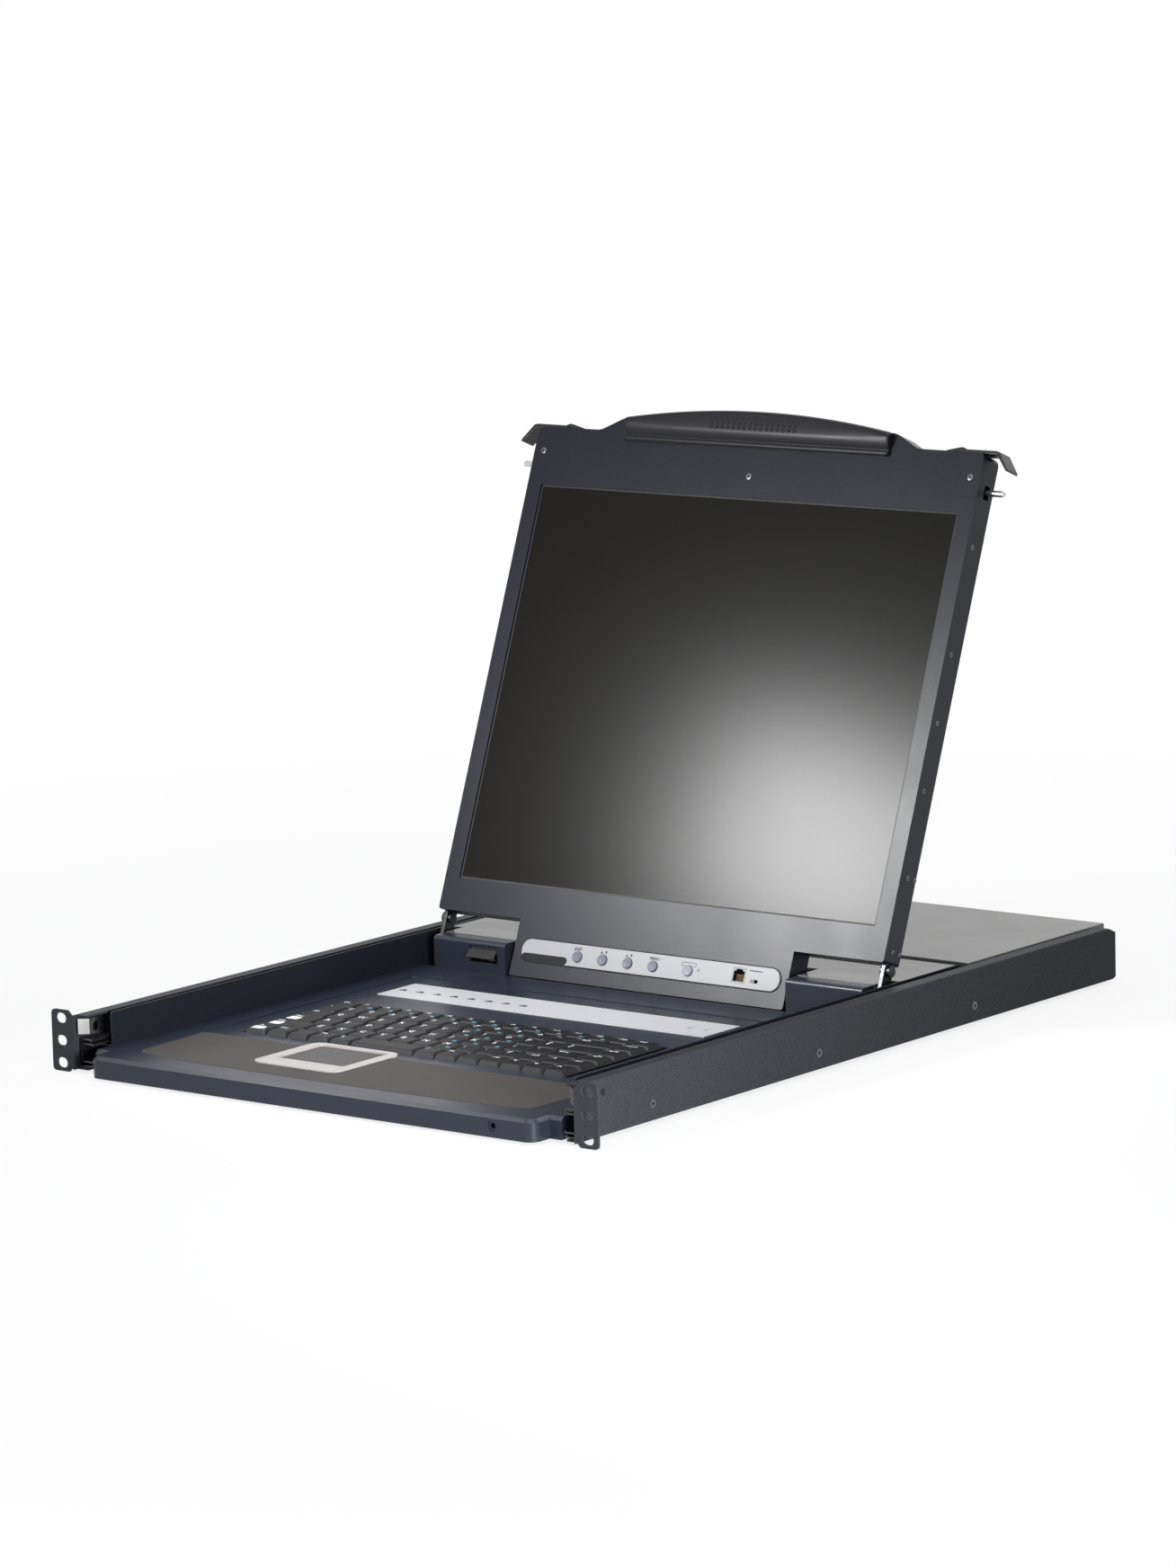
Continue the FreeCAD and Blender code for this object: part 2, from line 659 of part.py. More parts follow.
def rail():
    """Right-hand rail: C-section with a rack ear, three slots and countersunk screw holes."""
    front = -EAR_THICKNESS
    flange = RAIL_OUTER - RAIL_FLANGE
    body = channel(RAIL_OUTER, flange, RAIL_BOTTOM, RAIL_TOP, RAIL_WALL, (front, RAIL_REAR), RAIL_WALL)
    relief = block((0, RAIL_INNER), (front, FLANGE_START), (RAIL_BOTTOM, RAIL_TOP))
    run = RAIL_REAR - RAIL_CHAMFER_RUN
    drop = RAIL_TOP - RAIL_CHAMFER_DROP
    above = RAIL_TOP + CUT
    top_corner = [(run, RAIL_TOP), (RAIL_REAR, drop), (RAIL_REAR, above), (run, above)]
    low = RAIL_BOTTOM + RAIL_CHAMFER_DROP / 2
    foot = (RAIL_REAR - RAIL_CHAMFER_DROP, RAIL_BOTTOM)
    low_corner = [foot, (RAIL_REAR, low), (RAIL_REAR, RAIL_BOTTOM - CUT)]
    body = body.cut([relief, prism("x", top_corner, (0, REACH)), prism("x", low_corner, (0, REACH))])
    high = EAR_HEIGHT / 2
    chamfer = RAIL_INNER + EAR_CHAMFER
    ear_points = [
        (RAIL_INNER, EAR_CHAMFER - high), (chamfer, -high), (EAR_SPAN / 2, -high),
        (EAR_SPAN / 2, high), (chamfer, high), (RAIL_INNER, high - EAR_CHAMFER),
    ]
    ear = prism("y", ear_points, (front, 0), [0, 0, EAR_CORNER, EAR_CORNER, 0, 0])
    tools = []
    for row in (-1, 0, 1):
        x = around(HOLE_SPACING / 2, SLOT_LENGTH)
        z = around(row * HOLE_PITCH, SLOT_WIDTH)
        tools.append(prism("y", rectangle(x, z), (front - CUT, CUT), SLOT_WIDTH / 2))
    for y in screw_places():
        tools.append(countersink(y, SCREW_PLAY))
    tools.append(small_round("x", (RAIL_INNER - CUT, RAIL_OUTER + CUT), (RIVET_Y, CATCH_Z), RIVET_RADIUS))
    return fuse([body, ear]).cut(tools)


def countersink(y, play=0.0):
    """Conical seat of a side screw through the rail's web; without play it is the screw's head."""
    span = (RAIL_INNER, RAIL_OUTER)
    return tapered("x", span, (y, SLIDE_CENTRE), SCREW_RADIUS + play, SCREW_HEAD_RADIUS + play)


def side_screw(y):
    """Right-hand countersunk screw, its head in the rail and its shank in the slide."""
    return countersink(y).fuse(post("x", (OUTER_WEB, RAIL_INNER), (y, SLIDE_CENTRE), SCREW_RADIUS))


def chassis_screws():
    """Side screws through the rails into the outer slide members."""
    return group([both_sides(side_screw(y)) for y in screw_places()])


def lipped_channel(web, flange, height, wall, y):
    """Slide member: a C-section whose flanges end in a lip that keeps the balls in."""
    bottom = SLIDE_CENTRE - height / 2
    top = SLIDE_CENTRE + height / 2
    body = channel(web, flange, bottom, top, wall, y, wall)
    lip_x = (flange, flange + wall)
    upper = block(lip_x, y, (top - wall - LIP_HEIGHT, top - wall))
    lower = block(lip_x, y, (bottom + wall, bottom + wall + LIP_HEIGHT))
    return fuse([body, upper, lower])


def slide_span():
    """(low, high) pair in Y of the slides."""
    return (SLIDE_FRONT, SLIDE_FRONT + SLIDE_LENGTH)


def slide_outer_members():
    """Outer members, screwed to the rails."""
    flange = DRAWER_OUTER + INNER_WALL + 2 * FLANGE_GAP
    member = lipped_channel(RAIL_INNER, flange, OUTER_HEIGHT, OUTER_WALL, slide_span())
    span = (OUTER_WEB - CUT, RAIL_INNER + CUT)
    holes = [post("x", span, (y, SLIDE_CENTRE), SCREW_RADIUS) for y in screw_places()]
    return both_sides(member.cut(holes))


def slide_middle_members():
    """Middle members, which travel half as far as the drawer."""
    flange = DRAWER_OUTER + INNER_WALL + FLANGE_GAP
    return both_sides(lipped_channel(MIDDLE_WEB, flange, MIDDLE_HEIGHT, MIDDLE_WALL, slide_span()))


def slide_inner_members():
    """Inner members, on the drawer's side walls, opening outwards."""
    reach = MIDDLE_WEB - MIDDLE_WALL - FLANGE_GAP
    top = SLIDE_CENTRE + INNER_HEIGHT / 2
    bottom = SLIDE_CENTRE - INNER_HEIGHT / 2
    points = [
        (reach, bottom), (DRAWER_OUTER, bottom), (DRAWER_OUTER, top), (reach, top), (reach, top - INNER_WALL),
        (INNER_WEB, top - INNER_WALL), (INNER_WEB, bottom + INNER_WALL), (reach, bottom + INNER_WALL),
    ]
    radii = [0, INNER_WALL, INNER_WALL, 0, 0, 0, 0, 0]
    return both_sides(prism("y", points, (WALL_FRONT, DRAWER_REAR), radii))


def ball_cages(height, wall, web, reach):
    """Cages of one ball row pair: U-shaped strips inside a member, each flange holding balls."""
    offset = height / 2 - wall - BALL_DIAMETER / 2 - BALL_PLAY
    strip_top = SLIDE_CENTRE + offset + CAGE_SHEET / 2
    strip_bottom = SLIDE_CENTRE - offset - CAGE_SHEET / 2
    y = (CAGE_FRONT, CAGE_FRONT + CAGE_LENGTH)
    solids = [channel(web, reach, strip_bottom, strip_top, CAGE_SHEET, y)]
    centre_x = (web + reach) / 2
    for side in (-1, 1):
        for index in range(CAGE_BALLS):
            y_ball = CAGE_FRONT + CAGE_LENGTH * (index + 0.5) / CAGE_BALLS
            solids.append(ball((centre_x, y_ball), SLIDE_CENTRE + side * offset))
    return both_sides(fuse(solids))


def ball(centre, level):
    """Ball with few faces: two blunt hexagonal points, one above and one below its middle."""
    radius = BALL_DIAMETER / 2
    tip = BALL_TIP * radius
    upper = tapered("z", (level, level + radius), centre, radius, tip, 6)
    lower = tapered("z", (level - radius, level), centre, tip, radius, 6)
    return upper.fuse(lower)


def ball_cages_outer():
    """Cages between the outer and the middle members."""
    web = OUTER_WEB - CAGE_SHEET / 2
    reach = DRAWER_OUTER + INNER_WALL + 2 * FLANGE_GAP + OUTER_WALL + CAGE_SHEET
    return ball_cages(OUTER_HEIGHT, OUTER_WALL, web, reach)


def ball_cages_inner():
    """Cages between the middle and the inner members."""
    web = MIDDLE_WEB - MIDDLE_WALL - CAGE_SHEET
    reach = DRAWER_OUTER + INNER_WALL + FLANGE_GAP + MIDDLE_WALL + CAGE_SHEET
    return ball_cages(MIDDLE_HEIGHT, MIDDLE_WALL, web, reach)


def latch_catches():
    """Leaf springs riveted to the rails, each with the hole that takes a lid pin."""
    back = CATCH_FACE + CATCH_SHEET
    rear = CATCH_Y + CATCH_FLAT / 2
    front = CATCH_Y - CATCH_FLAT / 2
    path = [
        (RAIL_INNER, RIVET_Y + CATCH_FOOT / 2), (RAIL_INNER, RIVET_Y - CATCH_FOOT / 2), (back, rear),
        (back, front), (back + CATCH_LEAD[0], front - CATCH_LEAD[1]),
    ]
    leaf = prism("z", strip(path, -CATCH_SHEET), (CATCH_LOW, CATCH_HIGH))
    hole = small_round("x", (CATCH_FACE - CUT, back + CUT), (CATCH_Y, CATCH_Z), CATCH_HOLE_RADIUS)
    centre = (RIVET_Y, CATCH_Z)
    seat = RAIL_INNER - CATCH_SHEET
    rivet = small_round("x", (seat, RAIL_OUTER), centre, RIVET_RADIUS - HINGE_PLAY)
    head = small_round("x", (seat - CATCH_SHEET, seat), centre, 2 * RIVET_RADIUS)
    return both_sides(fuse([leaf.cut(hole), rivet, head]))


# ---------------------------------------------------------------- fixed rear box
def dsub_places():
    """X of the D-shaped sockets: one for each computer, then the console's own."""
    return [DSUB_FIRST + index * DSUB_PITCH for index in range(PORT_COUNT + 1)]


def dsub_points(x, play=0.0):
    """D-shaped outline in X and Z, wider at the top."""
    half = DSUB_WIDTH / 2 + play
    low = half - DSUB_SLANT
    rise = DSUB_HEIGHT / 2 + play
    below = DSUB_Z - rise
    above = DSUB_Z + rise
    return [(x - low, below), (x + low, below), (x + half, above), (x - half, above)]


def inlet_places():
    """(low, high) pairs in X and Z of the power inlet's body."""
    return around(INLET_X, INLET_WIDTH), around(0, INLET_HEIGHT)


def switch_places():
    """(low, high) pairs in X and Z of the mains switch's frame."""
    return around(SWITCH_X, SWITCH_WIDTH), around(0, SWITCH_HEIGHT)


def rear_box_tray():
    """Open sheet-metal tray with the socket panel as its rear wall and a cable slot in front."""
    outer = block((-BOX_HALF, BOX_HALF), (BOX_FRONT, BOX_REAR), (BOX_BOTTOM, BOX_TOP))
    inside = block(
        (BOX_SHEET - BOX_HALF, BOX_HALF - BOX_SHEET),
        (BOX_FRONT + BOX_SHEET, BOX_REAR - BOX_SHEET),
        (BOX_BOTTOM + BOX_SHEET, BOX_TOP + CUT),
    )
    rear = (BOX_REAR - BOX_SHEET - CUT, BOX_REAR + CUT)
    front = (BOX_FRONT - CUT, BOX_FRONT + BOX_SHEET + CUT)
    slot = block((-CABLE_SLOT_HALF, CABLE_SLOT_HALF), front, (CABLE_SLOT_LOW, CABLE_SLOT_HIGH))
    tools = [inside, slot]
    for x in dsub_places():
        tools.append(prism("y", dsub_points(x, 2 * PANEL_PLAY), rear))
        for side in (-1, 1):
            tools.append(post("y", rear, (x + side * JACK_SPACING / 2, DSUB_Z), JACK_THREAD + PANEL_PLAY))
    for z in usb_levels():
        tools.append(panel_opening(around(USB_X, USB_WIDTH), (z, z + USB_HEIGHT), rear))
    for x, z in (inlet_places(), switch_places()):
        tools.append(panel_opening(x, z, rear))
    return outer.cut(tools)


def panel_opening(x, z, y):
    """Cut-out in the panel, with play around the part that passes through."""
    return block((x[0] - PANEL_PLAY, x[1] + PANEL_PLAY), y, (z[0] - PANEL_PLAY, z[1] + PANEL_PLAY))


def rear_box_cover():
    """Lid plate of the rear box with flanges over the tray's sides and ends."""
    half = BOX_HALF + BOX_SHEET
    y = (BOX_FRONT - BOX_SHEET, BOX_REAR + BOX_SHEET)
    z = (BOX_TOP - BOX_COVER_FLANGE, BOX_TOP + BOX_SHEET)
    outer = block((-half, half), y, z)
    outer = rounded(outer, BOX_COVER_BEND, lambda box: box.ZMin > BOX_TOP)
    below = z[0] - CUT
    inside = block((-BOX_HALF, BOX_HALF), (BOX_FRONT, BOX_REAR), (below, BOX_TOP))
    panel = block((-BOX_HALF, BOX_HALF), (BOX_REAR - CUT, y[1] + CUT), (below, BOX_TOP - BOX_COVER_LIP))
    slot = CABLE_SLOT_HALF + BOX_SHEET
    cable = block((-slot, slot), (y[0] - CUT, BOX_FRONT + CUT), (below, BOX_TOP - BOX_COVER_LIP))
    return outer.cut([inside, panel, cable])


def box_brackets():
    """Channels that carry the rear box between the rails."""
    low = BOX_HALF
    high = RAIL_INNER
    path = [
        (low, BRACKET_BOTTOM), (low, BRACKET_TOP), (high, BRACKET_TOP), (high, BRACKET_BOTTOM),
        (high - BRACKET_SHEET, BRACKET_BOTTOM), (high - BRACKET_SHEET, BRACKET_TOP - BRACKET_SHEET),
        (low + BRACKET_SHEET, BRACKET_TOP - BRACKET_SHEET), (low + BRACKET_SHEET, BRACKET_BOTTOM),
    ]
    first = BOX_FRONT + BRACKET_INSET
    starts = (first, first + BRACKET_SPACING)
    return group([both_sides(prism("y", path, (start, start + BRACKET_LENGTH))) for start in starts])


def usb_levels():
    """Undersides of the two stacked console sockets."""
    return (BOARD_TOP, BOARD_TOP + USB_HEIGHT + USB_STACK_GAP)


def usb_socket(x, y, z):
    """Open metal socket with its tongue; y is (inner end, mouth)."""
    front = min(y)
    back = max(y)
    inner = (y[0] + math.copysign(USB_SHELL, y[1] - y[0]), y[1] + math.copysign(CUT, y[1] - y[0]))
    shell = block(x, (front, back), z)
    hollow = block(grown(x, -USB_SHELL), (min(inner), max(inner)), grown(z, -USB_SHELL))
    middle = (z[0] + z[1] + USB_TONGUE) / 2
    tongue_y = (front + USB_SHELL, back - USB_SHELL)
    tongue = block((x[0] + 1.0, x[1] - 1.0), tongue_y, (middle - USB_TONGUE / 2, middle + USB_TONGUE / 2))
    return fuse([shell.cut(hollow), tongue])


def switch_board():
    """Circuit board on standoffs, with the main chips."""
    floor = BOX_BOTTOM + BOX_SHEET
    y = (BOX_FRONT + BOARD_FRONT_GAP, BOX_REAR - BOX_SHEET - HINGE_PLAY)
    x = (BOARD_MARGIN - BOX_HALF, SUPPLY_LEFT - BOARD_MARGIN)
    solids = [block(x, y, (BOARD_TOP - BOARD_SHEET, BOARD_TOP))]
    for px in (x[0] + STANDOFF_INSET, (x[0] + x[1]) / 2, x[1] - STANDOFF_INSET):
        for py in (y[0] + STANDOFF_INSET, y[1] - STANDOFF_INSET):
            solids.append(post("z", (floor, BOARD_TOP - BOARD_SHEET), (px, py), STANDOFF_RADIUS))
    for index in range(4):
        px = x[0] + CHIP_PITCH * (index + 0.7)
        chip_y = around(y[0] + CHIP_PITCH * 0.7, CHIP_SIZE)
        solids.append(block(around(px, CHIP_SIZE), chip_y, (BOARD_TOP, BOARD_TOP + CHIP_HEIGHT)))
    return fuse(solids)


def rear_connectors():
    """Row of D-shaped sockets with jack screws, and the two console sockets."""
    wall = BOX_REAR - BOX_SHEET
    solids = [dsub_socket(x, wall) for x in dsub_places()]
    x = around(USB_X, USB_WIDTH)
    levels = usb_levels()
    stack = [usb_socket(x, (wall - USB_DEPTH, BOX_REAR + USB_SHELL), (z, z + USB_HEIGHT)) for z in levels]
    stack.append(block(x, (wall - USB_DEPTH, wall - PANEL_PLAY), (levels[0] + USB_HEIGHT, levels[1])))
    solids.append(fuse(stack))
    return group(solids)


def dsub_socket(x, wall):
    """One D-shaped socket behind the panel, its shell and jack screws passing through."""
    body_x = around(x, JACK_SPACING + 2 * DSUB_BODY_MARGIN)
    body_top = DSUB_Z + DSUB_HEIGHT / 2 + DSUB_BODY_MARGIN
    parts = [
        block(body_x, (wall - DSUB_BODY_DEPTH, wall), (BOARD_TOP, body_top)),
        prism("y", dsub_points(x), (wall, BOX_REAR + DSUB_LENGTH)),
    ]
    for side in (-1, 1):
        centre = (x + side * JACK_SPACING / 2, DSUB_Z)
        parts.append(post("y", (wall, BOX_REAR), centre, JACK_THREAD))
        parts.append(post("y", (BOX_REAR, BOX_REAR + JACK_LENGTH), centre, JACK_RADIUS))
    return fuse(parts)


def power_supply():
    """Open-frame supply: board, transformer, capacitors and heat sinks."""
    floor = BOX_BOTTOM + BOX_SHEET
    x = (SUPPLY_LEFT, SUPPLY_RIGHT)
    y = (BOX_FRONT + SUPPLY_FRONT_GAP, BOX_REAR - SUPPLY_REAR_GAP)
    top = BOARD_TOP
    solids = [block(x, y, (top - BOARD_SHEET, top))]
    for px in (x[0] + STANDOFF_INSET, x[1] - STANDOFF_INSET):
        for py in (y[0] + STANDOFF_INSET, y[1] - STANDOFF_INSET):
            solids.append(post("z", (floor, top - BOARD_SHEET), (px, py), STANDOFF_RADIUS))
    middle = (x[0] + x[1]) / 2
    transformer_y = (y[0] + SINK_INSET, y[0] + SINK_INSET + TRANSFORMER_SIZE)
    solids.append(block(around(middle, TRANSFORMER_SIZE), transformer_y, (top, top + TRANSFORMER_HEIGHT)))
    capacitor_y = y[1] - CAPACITOR_RADIUS - SINK_SHEET
    for side in (-1, 1):
        centre = (middle + side * 1.5 * CAPACITOR_RADIUS, capacitor_y)
        solids.append(small_round("z", (top, top + CAPACITOR_HEIGHT), centre, CAPACITOR_RADIUS))
    sink_y = (y[0] + SINK_INSET, y[1] - 3 * CAPACITOR_RADIUS)
    for px in (x[0] + SINK_SHEET, x[1] - 2 * SINK_SHEET):
        solids.append(block((px, px + SINK_SHEET), sink_y, (top, top + SINK_HEIGHT)))
    return fuse(solids)


def power_inlet():
    """Mains inlet with three blades in a keyed cavity, and the frame of the rocker switch."""
    x, z = inlet_places()
    wall = BOX_REAR
    flange = INLET_FLANGE
    body = block(x, (wall - INLET_DEPTH, wall), z)
    face = prism("y", rectangle(grown(x, flange), grown(z, flange)), (wall, wall + flange), [0, 0, 0, 0])
    half = INLET_WIDTH / 2 - INLET_WALL
    rise = INLET_HEIGHT / 2 - INLET_WALL
    key = INLET_KEY
    cavity_points = [
        (INLET_X - half, -rise), (INLET_X + half, -rise), (INLET_X + half, rise - key),
        (INLET_X + half - key, rise), (INLET_X - half + key, rise), (INLET_X - half, rise - key),
    ]
    cavity = prism("y", cavity_points, (wall - INLET_DEPTH + INLET_BACK, wall + flange + CUT))
    blades = []
    for offset, level in BLADES:
        blade_y = (wall - INLET_DEPTH + INLET_BACK - CUT, wall - BLADE_SHORT)
        blades.append(block(around(INLET_X + offset, BLADE_SIZE[0]), blade_y, around(level, BLADE_SIZE[1])))
    inlet = fuse([fuse([body, face]).cut(cavity)] + blades)
    return group([inlet, switch_frame()])


def switch_frame():
    """Frame of the mains switch, with sockets for the rocker's trunnions."""
    x, z = switch_places()
    wall = BOX_REAR
    frame = fuse([
        block(x, (wall - SWITCH_DEPTH, wall), z),
        block(grown(x, SWITCH_RIM), (wall, wall + SWITCH_RIM), grown(z, SWITCH_RIM)),
    ])
    inner_x = grown(x, -SWITCH_WALL)
    pocket_y = (wall - SWITCH_DEPTH + SWITCH_WALL, wall + SWITCH_RIM + CUT)
    pocket = block(inner_x, pocket_y, grown(z, -SWITCH_WALL))
    reach = grown(inner_x, ROCKER_PIN_REACH)
    sockets = small_round("x", reach, (wall - ROCKER_AXIS_DEPTH, 0), ROCKER_PIN + 2 * HINGE_PLAY)
    return frame.cut([pocket, sockets])


def power_rocker():
    """Rocker of the mains switch, on trunnions in its frame."""
    wall = BOX_REAR
    width = SWITCH_WIDTH / 2 - SWITCH_WALL - ROCKER_SIDE_PLAY
    half = SWITCH_HEIGHT / 2 - SWITCH_WALL - ROCKER_END_PLAY
    axis = (wall - ROCKER_AXIS_DEPTH, 0)
    low = axis[0] - ROCKER_ROOT
    high = wall + ROCKER_PROUD
    face = [
        (low, -half / 2), (wall, -half), (high, -half), (wall, 0),
        (high, half), (wall, half), (low, half / 2),
    ]
    reach = width + ROCKER_PIN_REACH
    pins = small_round("x", (SWITCH_X - reach, SWITCH_X + reach), axis, ROCKER_PIN)
    body = fuse([prism("x", face, (SWITCH_X - width, SWITCH_X + width)), pins])
    body.rotate(FreeCAD.Vector(SWITCH_X, axis[0], axis[1]), AXES["x"], -ROCKER_TILT)
    return body


# ---------------------------------------------------------------- drawer body
def base_pan():
    """Flat bottom sheet with a narrower tongue under the front lip."""
    z = (PAN_BOTTOM, PAN_TOP)
    front = SKIRT_REAR + PAN_GAP
    sheet = block((-DRAWER_OUTER, DRAWER_OUTER), (front, DRAWER_REAR), z)
    inset = MOULD_WALL + TONGUE_PLAY
    half = DRAWER_OUTER - LIP_INSET - inset
    corner = LIP_CORNER - inset
    tongue_points = rectangle((-half, half), (LIP_FRONT + inset, front))
    return fuse([sheet, prism("z", tongue_points, z, [corner, corner, 0, 0])])


def side_wall():
    """Right-hand wall of the drawer with its inner bottom flange."""
    points = rectangle((WALL_FRONT, DRAWER_REAR), (PAN_TOP, WALL_TOP))
    wall = prism("x", points, (DRAWER_INNER, DRAWER_OUTER), [0, 0, WALL_CORNER, WALL_CORNER])
    flange_x = (DRAWER_INNER - WALL_FLANGE, DRAWER_INNER)
    flange = block(flange_x, (SKIRT_REAR + PAN_GAP, DRAWER_REAR), (PAN_TOP, PAN_TOP + WALL_SHEET))
    return fuse([wall, flange])


def deck_outline(shrink=0.0):
    """Outline of the moulded deck in X and Y: front lip, shoulders and the part between the walls."""
    lip = DRAWER_OUTER - LIP_INSET - shrink
    shoulder = DRAWER_OUTER - shrink
    inner = DRAWER_INNER - DECK_SIDE_GAP - shrink
    wall = WALL_FRONT - WALL_PLAY
    right = [
        (lip, LIP_FRONT + shrink), (lip, SHOULDER_FRONT + shrink), (shoulder, SHOULDER_FRONT + shrink),
        (shoulder, wall), (inner, wall), (inner, DECK_REAR),
        (BLOCK_INNER, DECK_REAR), (BLOCK_INNER, DECK_REAR - DECK_NOTCH),
    ]
    radii = [LIP_CORNER - shrink, 0, 0, 0, 0, 0, 0, 0]
    points = right + [(-x, y) for x, y in right[::-1]]
    return points, radii + radii[::-1]


def key_opening():
    """(low, high) pairs in X and Y of the opening that the keys stand in."""
    x = (KEY_LEFT - OPENING_MARGIN, KEY_RIGHT + OPENING_RIGHT_MARGIN)
    return x, (KEY_FRONT - OPENING_MARGIN / 2, KEY_REAR + OPENING_MARGIN)


def surround_x():
    """(low, high) pair in X of the touchpad's surround."""
    return around(PAD_X, SURROUND_WIDTH)


def surround_points(inset):
    """Rectangle drawn in from the touchpad surround's outline."""
    x = surround_x()
    return rectangle((x[0] + inset, x[1] - inset), (SURROUND_FRONT + inset, SURROUND_REAR - inset))


def pad_x():
    """(low, high) pair in X of the touchpad."""
    return around(PAD_X, PAD_WIDTH)


def palm_points():
    """Outline of the palm-rest insert, its front edge slightly bowed."""
    left = (PALM_LEFT + PALM_SIDE_LEAN, PALM_SIDE_FRONT)
    right = (PALM_RIGHT - PALM_SIDE_LEAN, PALM_SIDE_FRONT)
    bow = PALM_FRONT + PALM_BOW
    return [
        left, (PALM_LEFT + PALM_BOW_RUN, bow), (0, PALM_FRONT), (PALM_RIGHT - PALM_BOW_RUN, bow), right,
        (PALM_RIGHT, PALM_REAR), (PALM_LEFT, PALM_REAR),
    ]


PALM_RADII = [PALM_CORNER, PALM_BOW_RUN, 2 * PALM_BOW_RUN, PALM_BOW_RUN, PALM_CORNER, 0, 0]


def deck_cover():
    """Moulded deck: skirted front lip, shallow keyboard recess, key and touchpad openings."""
    points, radii = deck_outline()
    plate = prism("z", points, (DECK_UNDER, DECK_TOP), radii)
    skirt = prism("z", points, (PAN_BOTTOM, DECK_TOP), radii)
    below = PAN_BOTTOM - CUT
    above = DECK_TOP + CUT
    inner_points, inner_radii = deck_outline(MOULD_WALL)
    skirt = skirt.cut([
        prism("z", inner_points, (below, DECK_UNDER), inner_radii),
        block((-REACH, REACH), (WALL_FRONT - WALL_PLAY, REACH), (below, DECK_UNDER)),
    ])
    body = fuse([plate, skirt])
    lip_rear = SHOULDER_FRONT + 0.01
    body = bevelled(body, LIP_EDGE, lambda box: box.ZMin > DECK_TOP - 0.01 and box.YMax < lip_rear)
    recess_points = rectangle((-RECESS_HALF, RECESS_HALF), (PALM_REAR, RECESS_REAR))
    tools = [prism("z", recess_points, (DECK_TOP - RECESS_DEPTH, above), RECESS_CORNER)]
    x, y = key_opening()
    tools.append(block(x, y, (DECK_UNDER - CUT, above)))
    tools.append(prism("z", palm_points(), (DECK_TOP + PALM_PROUD - PALM_SHEET, above), PALM_RADII))
    tools.append(prism("z", surround_points(SURROUND_RIM), (DECK_UNDER - CUT, above)))
    centre = (INDICATOR_X, (DECK_TOP + PAN_BOTTOM) / 2)
    tools.append(small_round("y", (LIP_FRONT - CUT, LIP_FRONT + CUT), centre, 2 * INDICATOR_RADIUS))
    tools.append(small_round("y", (LIP_FRONT, LIP_FRONT + MOULD_WALL + CUT), centre, INDICATOR_RADIUS))
    return body.cut(tools)


def palm_panel():
    """Textured insert around the touchpad."""
    z = (DECK_TOP + PALM_PROUD - PALM_SHEET, DECK_TOP + PALM_PROUD)
    opening = prism("z", surround_points(-PALM_PLAY), grown(z, CUT), SURROUND_CORNER + PALM_PLAY)
    return prism("z", palm_points(), z, PALM_RADII).cut(opening)


def button_span():
    """(low, high) pair in Y of the well that the two buttons sit in."""
    return (PAD_FRONT - BUTTON_DEPTH - BUTTON_BAR, PAD_FRONT - BUTTON_BAR)


def touchpad_surround():
    """Pale frame around the touchpad, open at the front for the two buttons."""
    px = pad_x()
    top = DECK_TOP + SURROUND_PROUD
    seat = DECK_TOP + PALM_PROUD - PALM_SHEET
    low = DECK_UNDER - PAD_SKIRT
    rim = prism("z", surround_points(0.0), (seat, top), SURROUND_CORNER)
    shell = prism("z", surround_points(SURROUND_RIM + SURROUND_PLAY), (low, seat))
    through = (low - CUT, top + CUT)
    window = prism("z", rectangle(px, (PAD_FRONT, PAD_REAR)), through, PAD_CORNER)
    well = block(grown(px, BUTTON_MARGIN), button_span(), through)
    return fuse([rim, shell]).cut([window, well])


def touchpad():
    """Sensor plate on its carrier under the surround."""
    px = pad_x()
    seat = DECK_UNDER - PAD_SKIRT
    top = DECK_TOP + SURROUND_PROUD - PAD_SINK
    points = rectangle(grown(px, -PAD_PLAY), (PAD_FRONT + PAD_PLAY, PAD_REAR - PAD_PLAY))
    plate = prism("z", points, (seat, top), PAD_CORNER - PAD_PLAY)
    carrier_y = (button_span()[0], PAD_REAR + CARRIER_REAR_MARGIN)
    carrier = block(grown(px, CARRIER_MARGIN), carrier_y, (seat - CARRIER_SHEET, seat))
    return fuse([plate, carrier])


def touchpad_button(side):
    """One of the two buttons below the pad; side is -1 for the left one and 1 for the right one."""
    play = PAD_BUTTON_PLAY
    well = grown(pad_x(), BUTTON_MARGIN - play)
    middle = PAD_X + side * play / 2
    x = (well[0], middle) if side < 0 else (middle, well[1])
    top = DECK_TOP + SURROUND_PROUD + PAD_BUTTON_PROUD
    body = block(x, grown(button_span(), -play), (top - PAD_BUTTON_HEIGHT, top))
    return rounded(body, PAD_BUTTON_EDGE, lambda box: box.ZMin > top - 0.01)


def key_cells():
    """(x span, y span, units) of each key's cell, row by row from the front."""
    cells = []
    y = KEY_FRONT
    for index, row in enumerate(KEY_ROWS):
        depth = FUNCTION_ROW_DEPTH if index == len(KEY_ROWS) - 1 else KEY_ROW_DEPTH
        x = KEY_LEFT
        for units in row:
            cells.append(((x, x + units * KEY_PITCH), (y, y + depth), units))
            x += units * KEY_PITCH
        y += depth
    return cells


def stem_places(cell):
    """Centres of the guide stems of a key."""
    x, y, units = cell
    middle_x = (x[0] + x[1]) / 2
    middle_y = (y[0] + y[1]) / 2
    if units == SPACE_BAR:
        return [(middle_x - KEY_PITCH, middle_y), (middle_x + KEY_PITCH, middle_y)]
    return [(middle_x, middle_y)]


